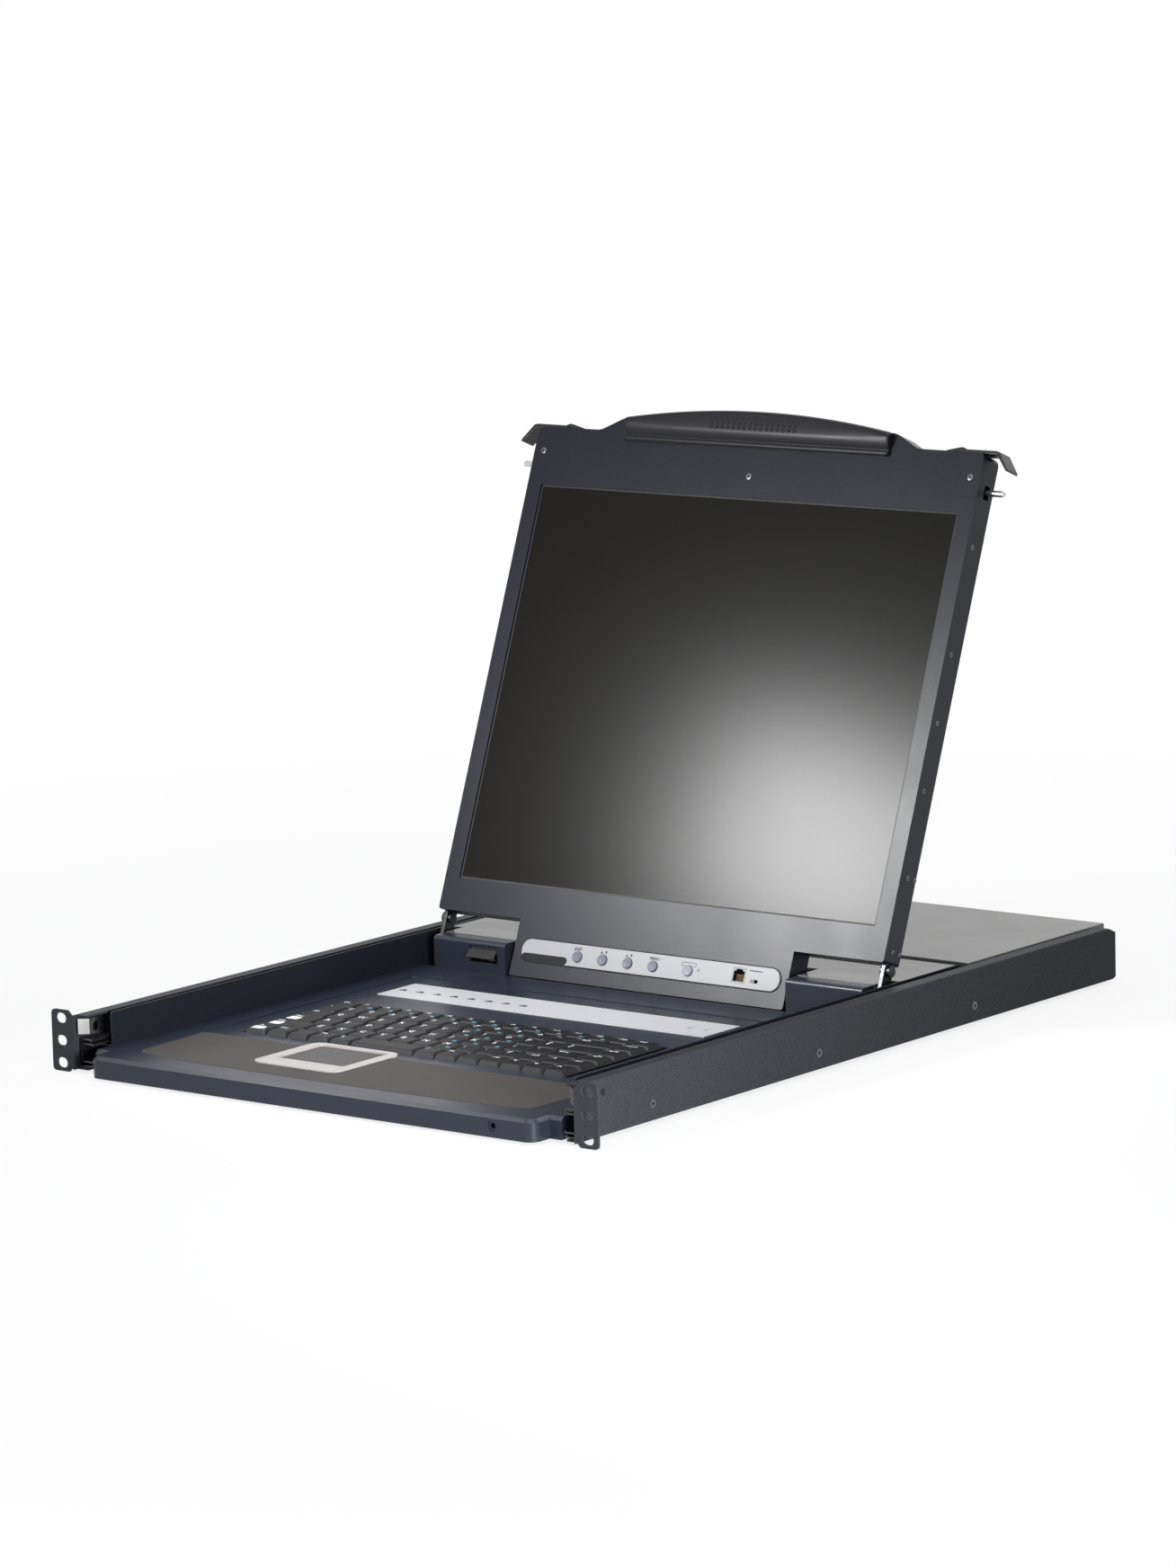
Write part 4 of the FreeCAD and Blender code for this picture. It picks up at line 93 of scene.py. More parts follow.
class Shader:
    """A node tree under construction, with its Principled shader."""

    def __init__(self, name):
        self.material = bpy.data.materials.new(name)
        self.material.use_nodes = True
        self.tree = self.material.node_tree
        self.bsdf = self.tree.nodes["Principled BSDF"]
        materials[name] = self.material

    def node(self, kind, **inputs):
        """New node; a socket's name is written with _ for each space."""
        made = self.tree.nodes.new("ShaderNode" + kind)
        for key, value in inputs.items():
            made.inputs[key.replace("_", " ")].default_value = value
        return made

    def link(self, source, target):
        self.tree.links.new(source, target)

    def place(self):
        """Coordinates in metres on the object."""
        return self.node("TexCoord").outputs["Object"]

    def noise(self, size, detail, stretch=(1, 1, 1)):
        """Noise whose features are about the given size in millimetres."""
        mapping = self.node("Mapping", Scale=stretch)
        self.link(self.place(), mapping.inputs["Vector"])
        made = self.node("TexNoise", Scale=1 / (size * MM), Detail=detail)
        self.link(mapping.outputs["Vector"], made.inputs["Vector"])
        return made.outputs["Fac"]

    def ramp(self, factor, stops):
        """Colour ramp with (place, colour) stops."""
        made = self.node("ValToRGB")
        elements = made.color_ramp.elements
        while len(elements) < len(stops):
            elements.new(0.5)
        for element, (position, colour) in zip(elements, stops):
            element.position = position
            element.color = (*colour, 1)
        self.link(factor, made.inputs["Fac"])
        return made.outputs["Color"]

    def span(self, factor, low, high):
        """The factor's middle range moved to the range low to high."""
        made = self.node("MapRange", From_Min=0.3, From_Max=0.7, To_Min=low, To_Max=high)
        self.link(factor, made.inputs["Value"])
        return made.outputs["Result"]

    def bump(self, height, strength, distance):
        """Bump of a distance in millimetres."""
        made = self.node("Bump", Strength=strength, Distance=distance * MM)
        self.link(height, made.inputs["Height"])
        self.link(made.outputs["Normal"], self.bsdf.inputs["Normal"])


def shade(colour, factor):
    return tuple(channel * factor for channel in colour)


def coated(name, colour, roughness, grain=0.5, relief=0.05, speckle=0.25, specular=0.5, drift=0.02):
    """Paint or moulded plastic: fine grain in colour and relief, slow changes in gloss.

    The grain and the relief are in millimetres. The gloss varies by the drift to either side."""
    shader = Shader(name)
    fine = shader.noise(grain, 3.0)
    darker, lighter = shade(colour, 1 - speckle), shade(colour, 1 + speckle)
    shader.link(shader.ramp(fine, [(0.32, darker), (0.68, lighter)]), shader.bsdf.inputs["Base Color"])
    slow = shader.noise(GLOSS_CLOUD_SIZE, 3.0)
    gloss = shader.span(slow, roughness - drift, roughness + drift)
    shader.link(gloss, shader.bsdf.inputs["Roughness"])
    shader.bsdf.inputs["Specular IOR Level"].default_value = specular
    shader.bump(fine, COAT_BUMP_STRENGTH, relief)
    return shader


def painted_lit_sides(shader, colour):
    """Gives a colour to the faces that don't look up, and leaves the others as they are; used as painted light, a
    paler colour on the sides for the light that they catch.
    """
    base = shader.bsdf.inputs["Base Color"]
    tops = base.links[0].from_socket
    apart = shader.node("SeparateXYZ")
    shader.link(shader.node("TexCoord").outputs["Normal"], apart.inputs["Vector"])
    facing_up = shader.node("MapRange", From_Min=0.6, From_Max=0.9)
    shader.link(apart.outputs["Z"], facing_up.inputs["Value"])
    mix = shader.node("MixRGB", Color1=(*colour, 1))
    shader.link(facing_up.outputs["Result"], mix.inputs["Fac"])
    shader.link(tops, mix.inputs["Color2"])
    shader.link(mix.outputs["Color"], base)


def metal(name, colour, roughness, stretch=(1, 1, 1)):
    """Bare or plated metal with a cloudy tint and a fine grain, drawn out where the stretch is small."""
    shader = Shader(name)
    cloud = shader.noise(METAL_CLOUD_SIZE, 4.0)
    tint = shader.ramp(cloud, [(0.3, shade(colour, 0.82)), (0.7, shade(colour, 1.08))])
    shader.link(tint, shader.bsdf.inputs["Base Color"])
    shader.bsdf.inputs["Metallic"].default_value = 1.0
    fine = shader.noise(METAL_GRAIN_SIZE, 3.0, stretch)
    gloss = shader.span(fine, roughness - METAL_GLOSS_DRIFT, roughness + METAL_GLOSS_DRIFT)
    shader.link(gloss, shader.bsdf.inputs["Roughness"])
    shader.bump(fine, METAL_BUMP_STRENGTH, METAL_RELIEF)


def make_materials():
    """Every material, by the name of its slot or of its finish."""
    coated("rail_paint", (0.031, 0.032, 0.037), 0.44, grain=0.7, relief=0.07, speckle=0.4, specular=0.05)
    coated("navy_paint", (0.008, 0.009, 0.014), 0.38, grain=0.6, relief=0.06, speckle=0.4, specular=0.25)
    coated("lid_paint", (0.007, 0.008, 0.014), 0.33, grain=0.6, relief=0.07, speckle=0.6, specular=0.22)
    coated("plate_paint", (0.094, 0.097, 0.090), 0.24, grain=0.6, relief=0.03, speckle=0.2, specular=0.46)
    coated("deck_plastic", (0.015, 0.018, 0.029), 0.32, grain=0.5, relief=0.03, speckle=0.3, specular=0.3)
    coated("black_plastic", (0.008, 0.008, 0.009), 0.30, grain=0.4, relief=0.02, speckle=0.25, specular=0.4)
    coated("handle_plastic", (0.010, 0.010, 0.012), 0.34, grain=0.5, relief=0.03, speckle=0.3, specular=0.2)
    coated("palm_texture", (0.046, 0.043, 0.041), 0.56, grain=0.9, relief=0.12, speckle=0.45, specular=0.17)
    coated("pale_plastic", (0.40, 0.385, 0.375), 0.42, grain=0.5, relief=0.02, speckle=0.06)
    coated("pad_plastic", (0.055, 0.052, 0.051), 0.50, grain=0.35, relief=0.05, speckle=0.14, specular=0.3)
    caps = coated("key_plastic", (0.009, 0.009, 0.010), 0.40, relief=0.02, speckle=0.2, specular=0.12)
    # Painted light: the caps' sides are paler than their tops, for the light that the sides catch.
    painted_lit_sides(caps, (0.038, 0.038, 0.041))
    coated("legend_ink", (0.78, 0.78, 0.78), 0.5, grain=0.8, relief=0.005, speckle=0.06)
    coated("legend_blue", (0.10, 0.42, 0.60), 0.5, grain=0.8, relief=0.005, speckle=0.06)
    coated("silver_label", (0.54, 0.55, 0.57), 0.34, grain=0.3, relief=0.008, speckle=0.05)
    coated("control_label", (0.27, 0.27, 0.285), 0.40, grain=0.3, relief=0.008, speckle=0.05, specular=0.25)
    # Dark ink for print, also used as painted shade for holes, recesses, slits and the gaps round screw heads.
    coated("ink_and_painted_shade", (0.010, 0.010, 0.012), 0.6, grain=0.6, relief=0.005, speckle=0.1, specular=0.15)
    coated("light_lens", (0.35, 0.42, 0.48), 0.18, grain=1.2, relief=0.01, speckle=0.1)
    coated("blue_button", (0.085, 0.092, 0.120), 0.40, grain=0.5, relief=0.02, speckle=0.08, specular=0.3)
    coated("violet_button", (0.17, 0.17, 0.21), 0.40, grain=0.5, relief=0.02, speckle=0.08, specular=0.3)
    coated("circuit_board", (0.010, 0.075, 0.030), 0.35, grain=1.5, relief=0.04, speckle=0.3)
    coated("gasket_rubber", (0.006, 0.006, 0.007), 0.6, grain=0.4, relief=0.03, speckle=0.2)
    coated("screen_film", (0.0040, 0.0035, 0.0030), 0.24, grain=0.3, relief=0.002, specular=0.115,
           drift=0.002)
    metal("screw_steel", (0.15, 0.15, 0.16), 0.34)
    metal("zinc_steel", (0.52, 0.53, 0.54), 0.32, (1, 0.08, 1))
    metal("spring_steel", (0.62, 0.62, 0.62), 0.2, (1, 0.1, 1))
    metal("hinge_steel", (0.06, 0.06, 0.065), 0.35)
    metal("connector_metal", (0.60, 0.59, 0.56), 0.28)
    # Painted shade: the slides' zinc steel is darkened for the shadow that they lie in behind the ears and walls.
    metal("slide_steel_painted_shade", (0.10, 0.10, 0.105), 0.34, (1, 0.08, 1))
    # Painted shade: the contacts' gold is darkened for the shade inside the service jack.
    metal("contact_gold_painted_shade", (0.055, 0.038, 0.022), 0.5)


# Nodes whose finish differs from their slot's.
SPECIAL_FINISH = {
    "lid_bezel": "lid_paint", "lid_rear_cover": "lid_paint", "control_strip": "control_label",
    "mid_cover": "plate_paint", "rear_box_cover": "plate_paint",
    # The slides and their ball cages take the steel darkened by painted shade.
    "slide_outer_members": "slide_steel_painted_shade", "slide_middle_members": "slide_steel_painted_shade",
    "slide_inner_members": "slide_steel_painted_shade",
    "ball_cages_outer": "slide_steel_painted_shade", "ball_cages_inner": "slide_steel_painted_shade",
}


SMOOTH_ANGLE = math.radians(34)
BEVEL_ANGLE = math.radians(32)
FLAT_ANGLE = math.radians(0.6)
WELD_DISTANCE = 0.02 * MM
BEVEL_SEGMENTS = 2


def smooth_group():
    """Geometry nodes that shade smooth between faces that meet at a small angle."""
    group = bpy.data.node_groups.new("smooth_by_angle", "GeometryNodeTree")
    group.interface.new_socket("Geometry", in_out="INPUT", socket_type="NodeSocketGeometry")
    group.interface.new_socket("Geometry", in_out="OUTPUT", socket_type="NodeSocketGeometry")
    entry = group.nodes.new("NodeGroupInput")
    leave = group.nodes.new("NodeGroupOutput")
    faces = group.nodes.new("GeometryNodeSetShadeSmooth")
    edges = group.nodes.new("GeometryNodeSetShadeSmooth")
    edges.domain = "EDGE"
    angle = group.nodes.new("GeometryNodeInputMeshEdgeAngle")
    small = group.nodes.new("FunctionNodeCompare")
    small.operation = "LESS_THAN"
    small.inputs["B"].default_value = SMOOTH_ANGLE
    group.links.new(entry.outputs[0], faces.inputs["Geometry"])
    group.links.new(angle.outputs["Unsigned Angle"], small.inputs["A"])
    group.links.new(small.outputs["Result"], edges.inputs["Shade Smooth"])
    group.links.new(faces.outputs["Geometry"], edges.inputs["Geometry"])
    group.links.new(edges.outputs["Geometry"], leave.inputs[0])
    return group


def soften(obj, width, weld=True):
    """Small rounded edges and smooth shading, by modifiers; the width is in millimetres."""
    if weld:
        modifier = obj.modifiers.new("weld", "WELD")
        modifier.merge_threshold = WELD_DISTANCE
        modifier = obj.modifiers.new("flats", "DECIMATE")
        modifier.decimate_type = "DISSOLVE"
        modifier.angle_limit = FLAT_ANGLE
    if width:
        modifier = obj.modifiers.new("bevel", "BEVEL")
        modifier.width = width * MM
        modifier.segments = BEVEL_SEGMENTS
        modifier.limit_method = "ANGLE"
        modifier.angle_limit = BEVEL_ANGLE
        modifier.use_clamp_overlap = True
        modifier.miter_outer = "MITER_ARC"
    modifier = obj.modifiers.new("smooth", "NODES")
    modifier.node_group = SMOOTH
    modifier = obj.modifiers.new("normals", "WEIGHTED_NORMAL")
    modifier.keep_sharp = True


# Width in millimetres of the rounded edges of each node that has them.
EDGE_WIDTHS = {
    "rail_left": 0.35, "rail_right": 0.35, "base_pan": 0.3, "side_wall_left": 0.35, "side_wall_right": 0.35,
    "deck_cover": 1.2, "palm_panel": 0.15, "touchpad_surround": 0.45, "touchpad": 0.3,
    "touchpad_button_left": 0.3, "touchpad_button_right": 0.3, "hinge_block_left": 0.6,
    "hinge_block_right": 0.6, "port_door": 0.2, "mid_cover": 0.3, "lid_bezel": 0.8, "lid_rear_cover": 0.5,
    "rear_box_cover": 0.35, "rear_box_tray": 0.3, "lid_handle": 0.5, "latch_slider_left": 0.35,
    "latch_slider_right": 0.35, "control_strip": 0.1, "hinge_arms": 0.25, "latch_catches": 0.12,
    "hinge_brackets": 0.3, "box_brackets": 0.3, "power_inlet": 0.3, "power_rocker": 0.5,
}


def dress_frame():
    """Material and softened edges for every node of the frame."""
    for name, obj in nodes.items():
        finish = materials[SPECIAL_FINISH.get(name, slot_of[name])]
        if not obj.material_slots:
            obj.data.materials.append(finish)
        for slot in obj.material_slots:
            slot.material = finish
        soften(obj, EDGE_WIDTHS.get(name, 0))


# ---------------------------------------------------------------- mesh tools


def piece(name, mesh, body, finish, width=0.0, hides=()):
    """Object made from a bmesh, with its material, its body and the CAD nodes that it stands for."""
    data = bpy.data.meshes.new(name)
    bmesh.ops.recalc_face_normals(mesh, faces=mesh.faces)
    mesh.to_mesh(data)
    mesh.free()
    obj = bpy.data.objects.new(name, data)
    bpy.context.scene.collection.objects.link(obj)
    data.materials.append(materials[finish])
    soften(obj, width, weld=False)
    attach(obj, body)
    if hides:
        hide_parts(*hides)


def rounded_points(low, high, radius, steps=5):
    """Corner points of a rectangle with rounded corners, anticlockwise."""
    points = []
    corners = [(high[0], high[1], 0), (low[0], high[1], 1), (low[0], low[1], 2), (high[0], low[1], 3)]
    for x, y, quarter in corners:
        centre_x = x - math.copysign(radius, x - low[0] - 1e-9) if x == high[0] else x + radius
        centre_y = y - radius if y == high[1] else y + radius
        for step in range(steps + 1):
            turn = (quarter + step / steps) * math.pi / 2
            points.append((centre_x + radius * math.cos(turn), centre_y + radius * math.sin(turn)))
    return points


def circle_points(centre, radius, sides):
    """Points of a circle, anticlockwise."""
    turns = [2 * math.pi * index / sides for index in range(sides)]
    return [(centre[0] + radius * math.cos(turn), centre[1] + radius * math.sin(turn)) for turn in turns]


def stack(mesh, rings, place=Matrix.Identity(4)):
    """Closed solid through rings of points, each ring (points, height); the ends are capped."""
    rows = []
    for points, height in rings:
        rows.append([mesh.verts.new(place @ Vector((x, y, height))) for x, y in points])
    count = len(rows[0])
    for lower, upper in zip(rows, rows[1:]):
        for index in range(count):
            after = (index + 1) % count
            mesh.faces.new((lower[index], lower[after], upper[after], upper[index]))
    mesh.faces.new(rows[0][::-1])
    mesh.faces.new(rows[-1])


def frame_ring(mesh, outer, inner, low, high, place=Matrix.Identity(4)):
    """Closed band between two outlines with the same number of points."""
    sets = []
    for points in (outer, inner):
        for height in (low, high):
            sets.append([mesh.verts.new(place @ Vector((x, y, height))) for x, y in points])
    outer_low, outer_high, inner_low, inner_high = sets
    count = len(outer)
    for index in range(count):
        after = (index + 1) % count
        mesh.faces.new((outer_low[index], outer_low[after], outer_high[after], outer_high[index]))
        mesh.faces.new((inner_low[after], inner_low[index], inner_high[index], inner_high[after]))
        mesh.faces.new((outer_high[index], outer_high[after], inner_high[after], inner_high[index]))
        mesh.faces.new((outer_low[after], outer_low[index], inner_low[index], inner_low[after]))


def turned(mesh, profile, place, sides):
    """Solid of revolution about the placed z axis through (radius, height) points, capped at both ends."""
    rings = [(circle_points((0, 0), radius, sides), height) for radius, height in profile]
    stack(mesh, rings, place)


def facing(point, normal):
    """Matrix whose z axis points along a normal, from a point."""
    turn = Vector(normal).to_track_quat("Z", "Y").to_matrix().to_4x4()
    return Matrix.Translation(Vector(point)) @ turn


LID_FRONT = lid_box("lid_bezel")[0].y
LID_HALF = lid_box("lid_bezel")[1].x
LID_TOP = 394 * MM
# Matrix whose x and y run along the lid and whose z points out of its front face.
LID_FACE = LID @ Matrix.Rotation(math.pi / 2, 4, "X")


def on_lid(x, v, w):
    """The lid's face matrix, moved to a point given across, along and through the lid."""
    return LID @ Matrix.Translation(Vector((x, w, v))) @ Matrix.Rotation(math.pi / 2, 4, "X")


# ---------------------------------------------------------------- keyboard

KEY_ROWS = [
    [1, 1, 1, 1, 1, 3, 1, 1, 1, 1, 1, 1, 1],
    [2, 1, 1, 1, 1, 1, 1, 1, 1, 1, 1, 1, 1, 1],
    [1.5, 1, 1, 1, 1, 1, 1, 1, 1, 1, 1, 1, 1.5, 1],
    [1.25, 1, 1, 1, 1, 1, 1, 1, 1, 1, 1, 1, 1.75, 1],
    [1, 1, 1, 1, 1, 1, 1, 1, 1, 1, 1, 1, 2, 1],
    [1] * 15,
]
LEGENDS = [
    ["Fn", "Ctrl", "", "Alt", "\\", "", "/", "Alt", "", "Ctrl", "<", "v", ">"],
    ["Shift", "Z", "X", "C", "V", "B", "N", "M", ",", ".", "/", "Shift", "^", "End"],
    ["Caps", "A", "S", "D", "F", "G", "H", "J", "K", "L", ";", "'", "Enter", "PgDn"],
    ["Tab", "Q", "W", "E", "R", "T", "Y", "U", "I", "O", "P", "[", "]", "PgUp"],
    ["`", "1", "2", "3", "4", "5", "6", "7", "8", "9", "0", "-", "Bksp", "Home"],
    ["Esc", "F1", "F2", "F3", "F4", "F5", "F6", "F7", "F8", "F9", "F10", "F11", "F12", "Num", "Del"],
]
BLUE_KEYS = {"F1", "F2", "F3", "F4", "F5", "F6", "F7", "F8", "F9", "F10", "F11", "F12",
             "U", "I", "O", "J", "K", "L", "M", "7", "8", "9", "Fn"}
PATCH_KEYS = {"Fn", "Shift", "Caps"}
SPACE_UNITS = 3
ROW_UNITS = 15
KEY_GAP = 0.9 * MM
CAP_HEIGHT = 3.9 * MM
CAP_SLOPE = (1.9 * MM, 1.5 * MM)
LETTER_SIZE = 6.8 * MM
WORD_SIZE = 3.9 * MM
LEGEND_INSET = (3.0 * MM, 2.6 * MM)
LEGEND_DEPTHS = (0.20 * MM, 0.10 * MM)
ROW_DEPTH = 19.05 * MM
TOP_ROW_DEPTH = 16.0 * MM


def key_cells():
    """Each key's x and y range, its width in units and its legend."""
    low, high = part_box("keycaps")
    left = low.x - KEY_GAP / 2
    pitch = (high.x - low.x + KEY_GAP) / ROW_UNITS
    cells = []
    y = low.y - KEY_GAP / 2
    for units, legends in zip(KEY_ROWS, LEGENDS):
        depth = TOP_ROW_DEPTH if units is KEY_ROWS[-1] else ROW_DEPTH
        x = left
        for width, legend in zip(units, legends):
            cells.append(((x, x + width * pitch), (y, y + depth), width, legend))
            x += width * pitch
        y += depth
    return cells


def inset(corners, x, y):
    """Lower left and upper right corner of a rectangle, moved inwards."""
    (left, low), (right, high) = corners
    return (left + x, low + y), (right - x, high - y)


def key_cap(mesh, x, y, low, top):
    """Cap with sloping sides, rounded corners and a slightly dished top."""
    foot = inset(((x[0], y[0]), (x[1], y[1])), KEY_GAP / 2, KEY_GAP / 2)
    head = inset(foot, *CAP_SLOPE)
    edge = 0.45 * MM
    rings = [
        (rounded_points(*foot, 0.5 * MM, 3), low),
        (rounded_points(*head, 1.3 * MM, 3), top - 0.25 * MM),
        (rounded_points(*inset(head, edge, edge), 1.2 * MM, 3), top),
        (rounded_points(*inset(head, 4 * edge, 4 * edge), 1.0 * MM, 3), top - 0.22 * MM),
    ]
    stack(mesh, rings)


def text_mesh(mesh, words, place, size):
    """Slightly raised lettering from its lower left corner, in the plane of a matrix."""
    curve = bpy.data.curves.new("words", "FONT")
    curve.body = words
    curve.size = size
    curve.resolution_u = 1
    curve.extrude = 0.02 * MM
    curve.offset = 0.02 * size
    holder = bpy.data.objects.new("words", curve)
    bpy.context.scene.collection.objects.link(holder)
    bpy.context.view_layer.update()
    flat = bpy.data.meshes.new_from_object(holder.evaluated_get(bpy.context.evaluated_depsgraph_get()))
    flat.transform(place)
    mesh.from_mesh(flat)
    bpy.data.meshes.remove(flat)
    bpy.data.objects.remove(holder)
    bpy.data.curves.remove(curve)


def build_keyboard():
    """Shaped caps with raised legends, the pale patches at the left and the blue second functions."""
    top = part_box("keycaps")[1].z
    caps, space, white, blue = (bmesh.new() for _ in range(4))
    for x, y, width, legend in key_cells():
        key_cap(space if width == SPACE_UNITS else caps, x, y, top - CAP_HEIGHT, top)
        if not legend:
            continue
        size = LETTER_SIZE if len(legend) == 1 else WORD_SIZE
        left = x[0] + LEGEND_INSET[0]
        base = y[1] - LEGEND_INSET[1] - 0.75 * size
        text_mesh(white, legend, Matrix.Translation((left, base, top - LEGEND_DEPTHS[1])), size)
        if legend in PATCH_KEYS and x[0] < 0:
            corners = (x[0] + 3.2 * MM, y[0] + 3.0 * MM), (x[0] + 13 * MM, y[1] - 8 * MM)
            patch = rounded_points(*corners, 1.2 * MM, 3)
            stack(white, [(patch, top - depth) for depth in LEGEND_DEPTHS])
        if legend in BLUE_KEYS:
            corners = (x[1] - 7.2 * MM, y[0] + 3.2 * MM), (x[1] - 3.6 * MM, y[0] + 5.0 * MM)
            bar = rounded_points(*corners, 0.5 * MM, 3)
            stack(blue, [(bar, top - depth) for depth in LEGEND_DEPTHS])
    piece("keycaps_shaped", caps, "keys", "key_plastic", hides=("keycaps",))
    piece("space_bar_shaped", space, "space_key", "key_plastic", hides=("space_bar",))
    piece("key_legends", white, "keys", "legend_ink")
    piece("key_legends_blue", blue, "keys", "legend_blue")


INK = 0.04 * MM


def print_shape(mesh, points, face):
    """Thin printed shape on the lid's front, at a height out of the lid's plane."""
    stack(mesh, [(points, face - INK), (points, face + INK)], LID_FACE)


def print_ring(mesh, outer, inner, face):
    """Thin dark outline on the lid's front."""
    frame_ring(mesh, outer, inner, face - INK, face + INK, LID_FACE)


def build_buttons():
    """Caps of the menu buttons and of the display's power button."""
    for index in range(1, 5):
        button_cap("menu_button_%d" % index, "menu_%d" % index, "blue_button")
    button_cap("display_power_button", "power_key", "violet_button")


def build_control_marks():
    """Tab, words, arrows and outlines printed on the control strip, and a dark line along its edge."""
    low, high = lid_box("control_strip")
    face = -low.y
    ink = bmesh.new()
    left = low.x + 1.7 * MM
    tab = rounded_points((left, low.z + 0.7 * MM), (left + 42 * MM, low.z + 6.6 * MM), 2.9 * MM)
    print_shape(ink, tab, face)
    level = high.z - 5.4 * MM
    for index in range(1, 5):
        button_low, button_high = lid_box("menu_button_%d" % index)
        centre = (button_low.x + button_high.x) / 2
        if index in (2, 3):
            middle = level + 1 * MM
            for shift, tip in ((-2.0 * MM, 1.1 * MM), (2.0 * MM, -1.1 * MM)):
                x = centre + shift
                arrow = [(x - 0.9 * MM, middle - tip), (x + 0.9 * MM, middle - tip), (x, middle + tip)]
                print_shape(ink, arrow, face)
        else:
            word = "EXIT" if index == 1 else "MENU"
            text_mesh(ink, word, on_lid(centre - 4.1 * MM, level, low.y - INK), 3.3 * MM)
    button_low, button_high = lid_box("display_power_button")
    centre = (button_low.x + button_high.x) / 2
    corners = (centre - 6.5 * MM, high.z - 6.6 * MM), (centre + 6.5 * MM, high.z - 3.9 * MM)
    inner = rounded_points(*inset(corners, 0.3 * MM, 0.3 * MM), 0.7 * MM)
    print_ring(ink, rounded_points(*corners, 0.8 * MM), inner, face)
    lamp = (centre + 9.2 * MM, (button_low.z + button_high.z) / 2 + 1.2 * MM)
    print_ring(ink, circle_points(lamp, 0.9 * MM, 20), circle_points(lamp, 0.6 * MM, 20), face)
    switch_low, switch_high = lid_box("mode_switch")
    corners = (switch_low.x - 2 * MM, high.z - 4.6 * MM), (switch_high.x + 6 * MM, high.z - 3.9 * MM)
    print_shape(ink, rounded_points(*corners, 0.3 * MM), face)
    piece("control_marks", ink, "lid", "ink_and_painted_shade")

    # Dark line just inside the strip's edge.
    border = bmesh.new()
    corners = (low.x, low.z), (high.x, high.z)
    line = 0.8 * MM
    inner = rounded_points(*inset(corners, line, line), 7.8 * MM, 8)
    print_ring(border, rounded_points(*corners, 8.6 * MM, 8), inner, face)
    piece("control_border", border, "lid", "ink_and_painted_shade")


def build_jack_contacts():
    """Eight contact strips inside the service jack, their gold darkened as painted shade."""
    low, high = lid_box("service_jack")
    contacts = bmesh.new()
    count = 8
    wall = 1.8 * MM
    width = (high.x - low.x - 2 * wall) / count
    for index in range(count):
        x = low.x + wall + index * width
        corners = (x + 0.25 * width, low.z + 1.2 * MM), (x + 0.75 * width, low.z + 6.4 * MM)
        points = rounded_points(*corners, 0.15 * MM, 2)
        stack(contacts, [(points, -low.y - 3.0 * MM), (points, -low.y - 2.2 * MM)], LID_FACE)
    piece("jack_contacts", contacts, "lid", "contact_gold_painted_shade")


def build_switch_ribs():
    """Three grip ribs on the mode switch."""
    low, high = lid_box("mode_switch")
    ribs = bmesh.new()
    margin = 0.2 * MM
    for index in range(3):
        x = low.x + (0.25 + 0.25 * index) * (high.x - low.x)
        points = rounded_points((x - margin, low.z + margin), (x + margin, high.z - margin), 0.1 * MM, 2)
        stack(ribs, [(points, -low.y - 0.1 * MM), (points, -low.y + 0.25 * MM)], LID_FACE)
    piece("mode_switch_ribs", ribs, "mode_slider", "black_plastic")


def button_cap(node, body, finish):
    """Round cap with a soft rim and a shallow dish, over the straight-sided button."""
    low, high = lid_box(node)
    radius = 4.0 * MM
    top = -low.y
    depth = 3.4 * MM
    mesh = bmesh.new()
    profile = [
        (radius - 0.6 * MM, top - depth), (radius, top - depth), (radius, top - 0.45 * MM),
        (radius - 0.12 * MM, top - 0.15 * MM), (radius - 0.4 * MM, top), (radius - 0.9 * MM, top),
        (radius - 1.3 * MM, top - 0.07 * MM), (0.3 * MM, top - 0.10 * MM),
    ]
    centre = Vector(((low.x + high.x) / 2, (low.z + high.z) / 2, 0))
    turned(mesh, profile, LID_FACE @ Matrix.Translation(centre), 40)
    piece(node + "_cap", mesh, body, finish, hides=(node,))


def build_screen():
    """Thin dark gasket around the display."""
    opening = screen_opening()
    face = -lid_box("lcd_screen")[0].y
    width = 1.5 * MM
    corner = 0.2 * MM
    mesh = bmesh.new()
    outer = rounded_points(*opening, corner, 3)
    inner = rounded_points(*inset(opening, width, width), corner, 3)
    frame_ring(mesh, outer, inner, face - 0.1 * MM, face + 0.25 * MM, LID_FACE)
    piece("screen_gasket", mesh, "lid", "gasket_rubber")


# Ranges from the lid's middle line and along the lid in which the corners of the bezel's window lie.
WINDOW_ACROSS = (180 * MM, 195 * MM)
WINDOW_ALONG = (40 * MM, 360 * MM)


def screen_opening():
    """Lower left and upper right corner of the bezel's window, in the lid's axes."""
    back = LID.inverted()
    xs, vs = [], []
    for vertex in nodes["lid_bezel"].data.vertices:
        x, w, v = back @ vertex.co
        on_face = abs(w - LID_FRONT) < 0.01 * MM
        in_range = WINDOW_ACROSS[0] < abs(x) < WINDOW_ACROSS[1] and WINDOW_ALONG[0] < v < WINDOW_ALONG[1]
        if on_face and in_range:
            xs.append(x)
            vs.append(v)
    return (min(xs), min(vs)), (max(xs), max(vs))


def screw_head(mesh, place, radius, height):
    """Pan head."""
    profile = [
        (radius, -0.1 * MM), (radius, 0.35 * height), (0.8 * radius, 0.85 * height), (0.45 * radius, height),
    ]
    turned(mesh, profile, place, 28)


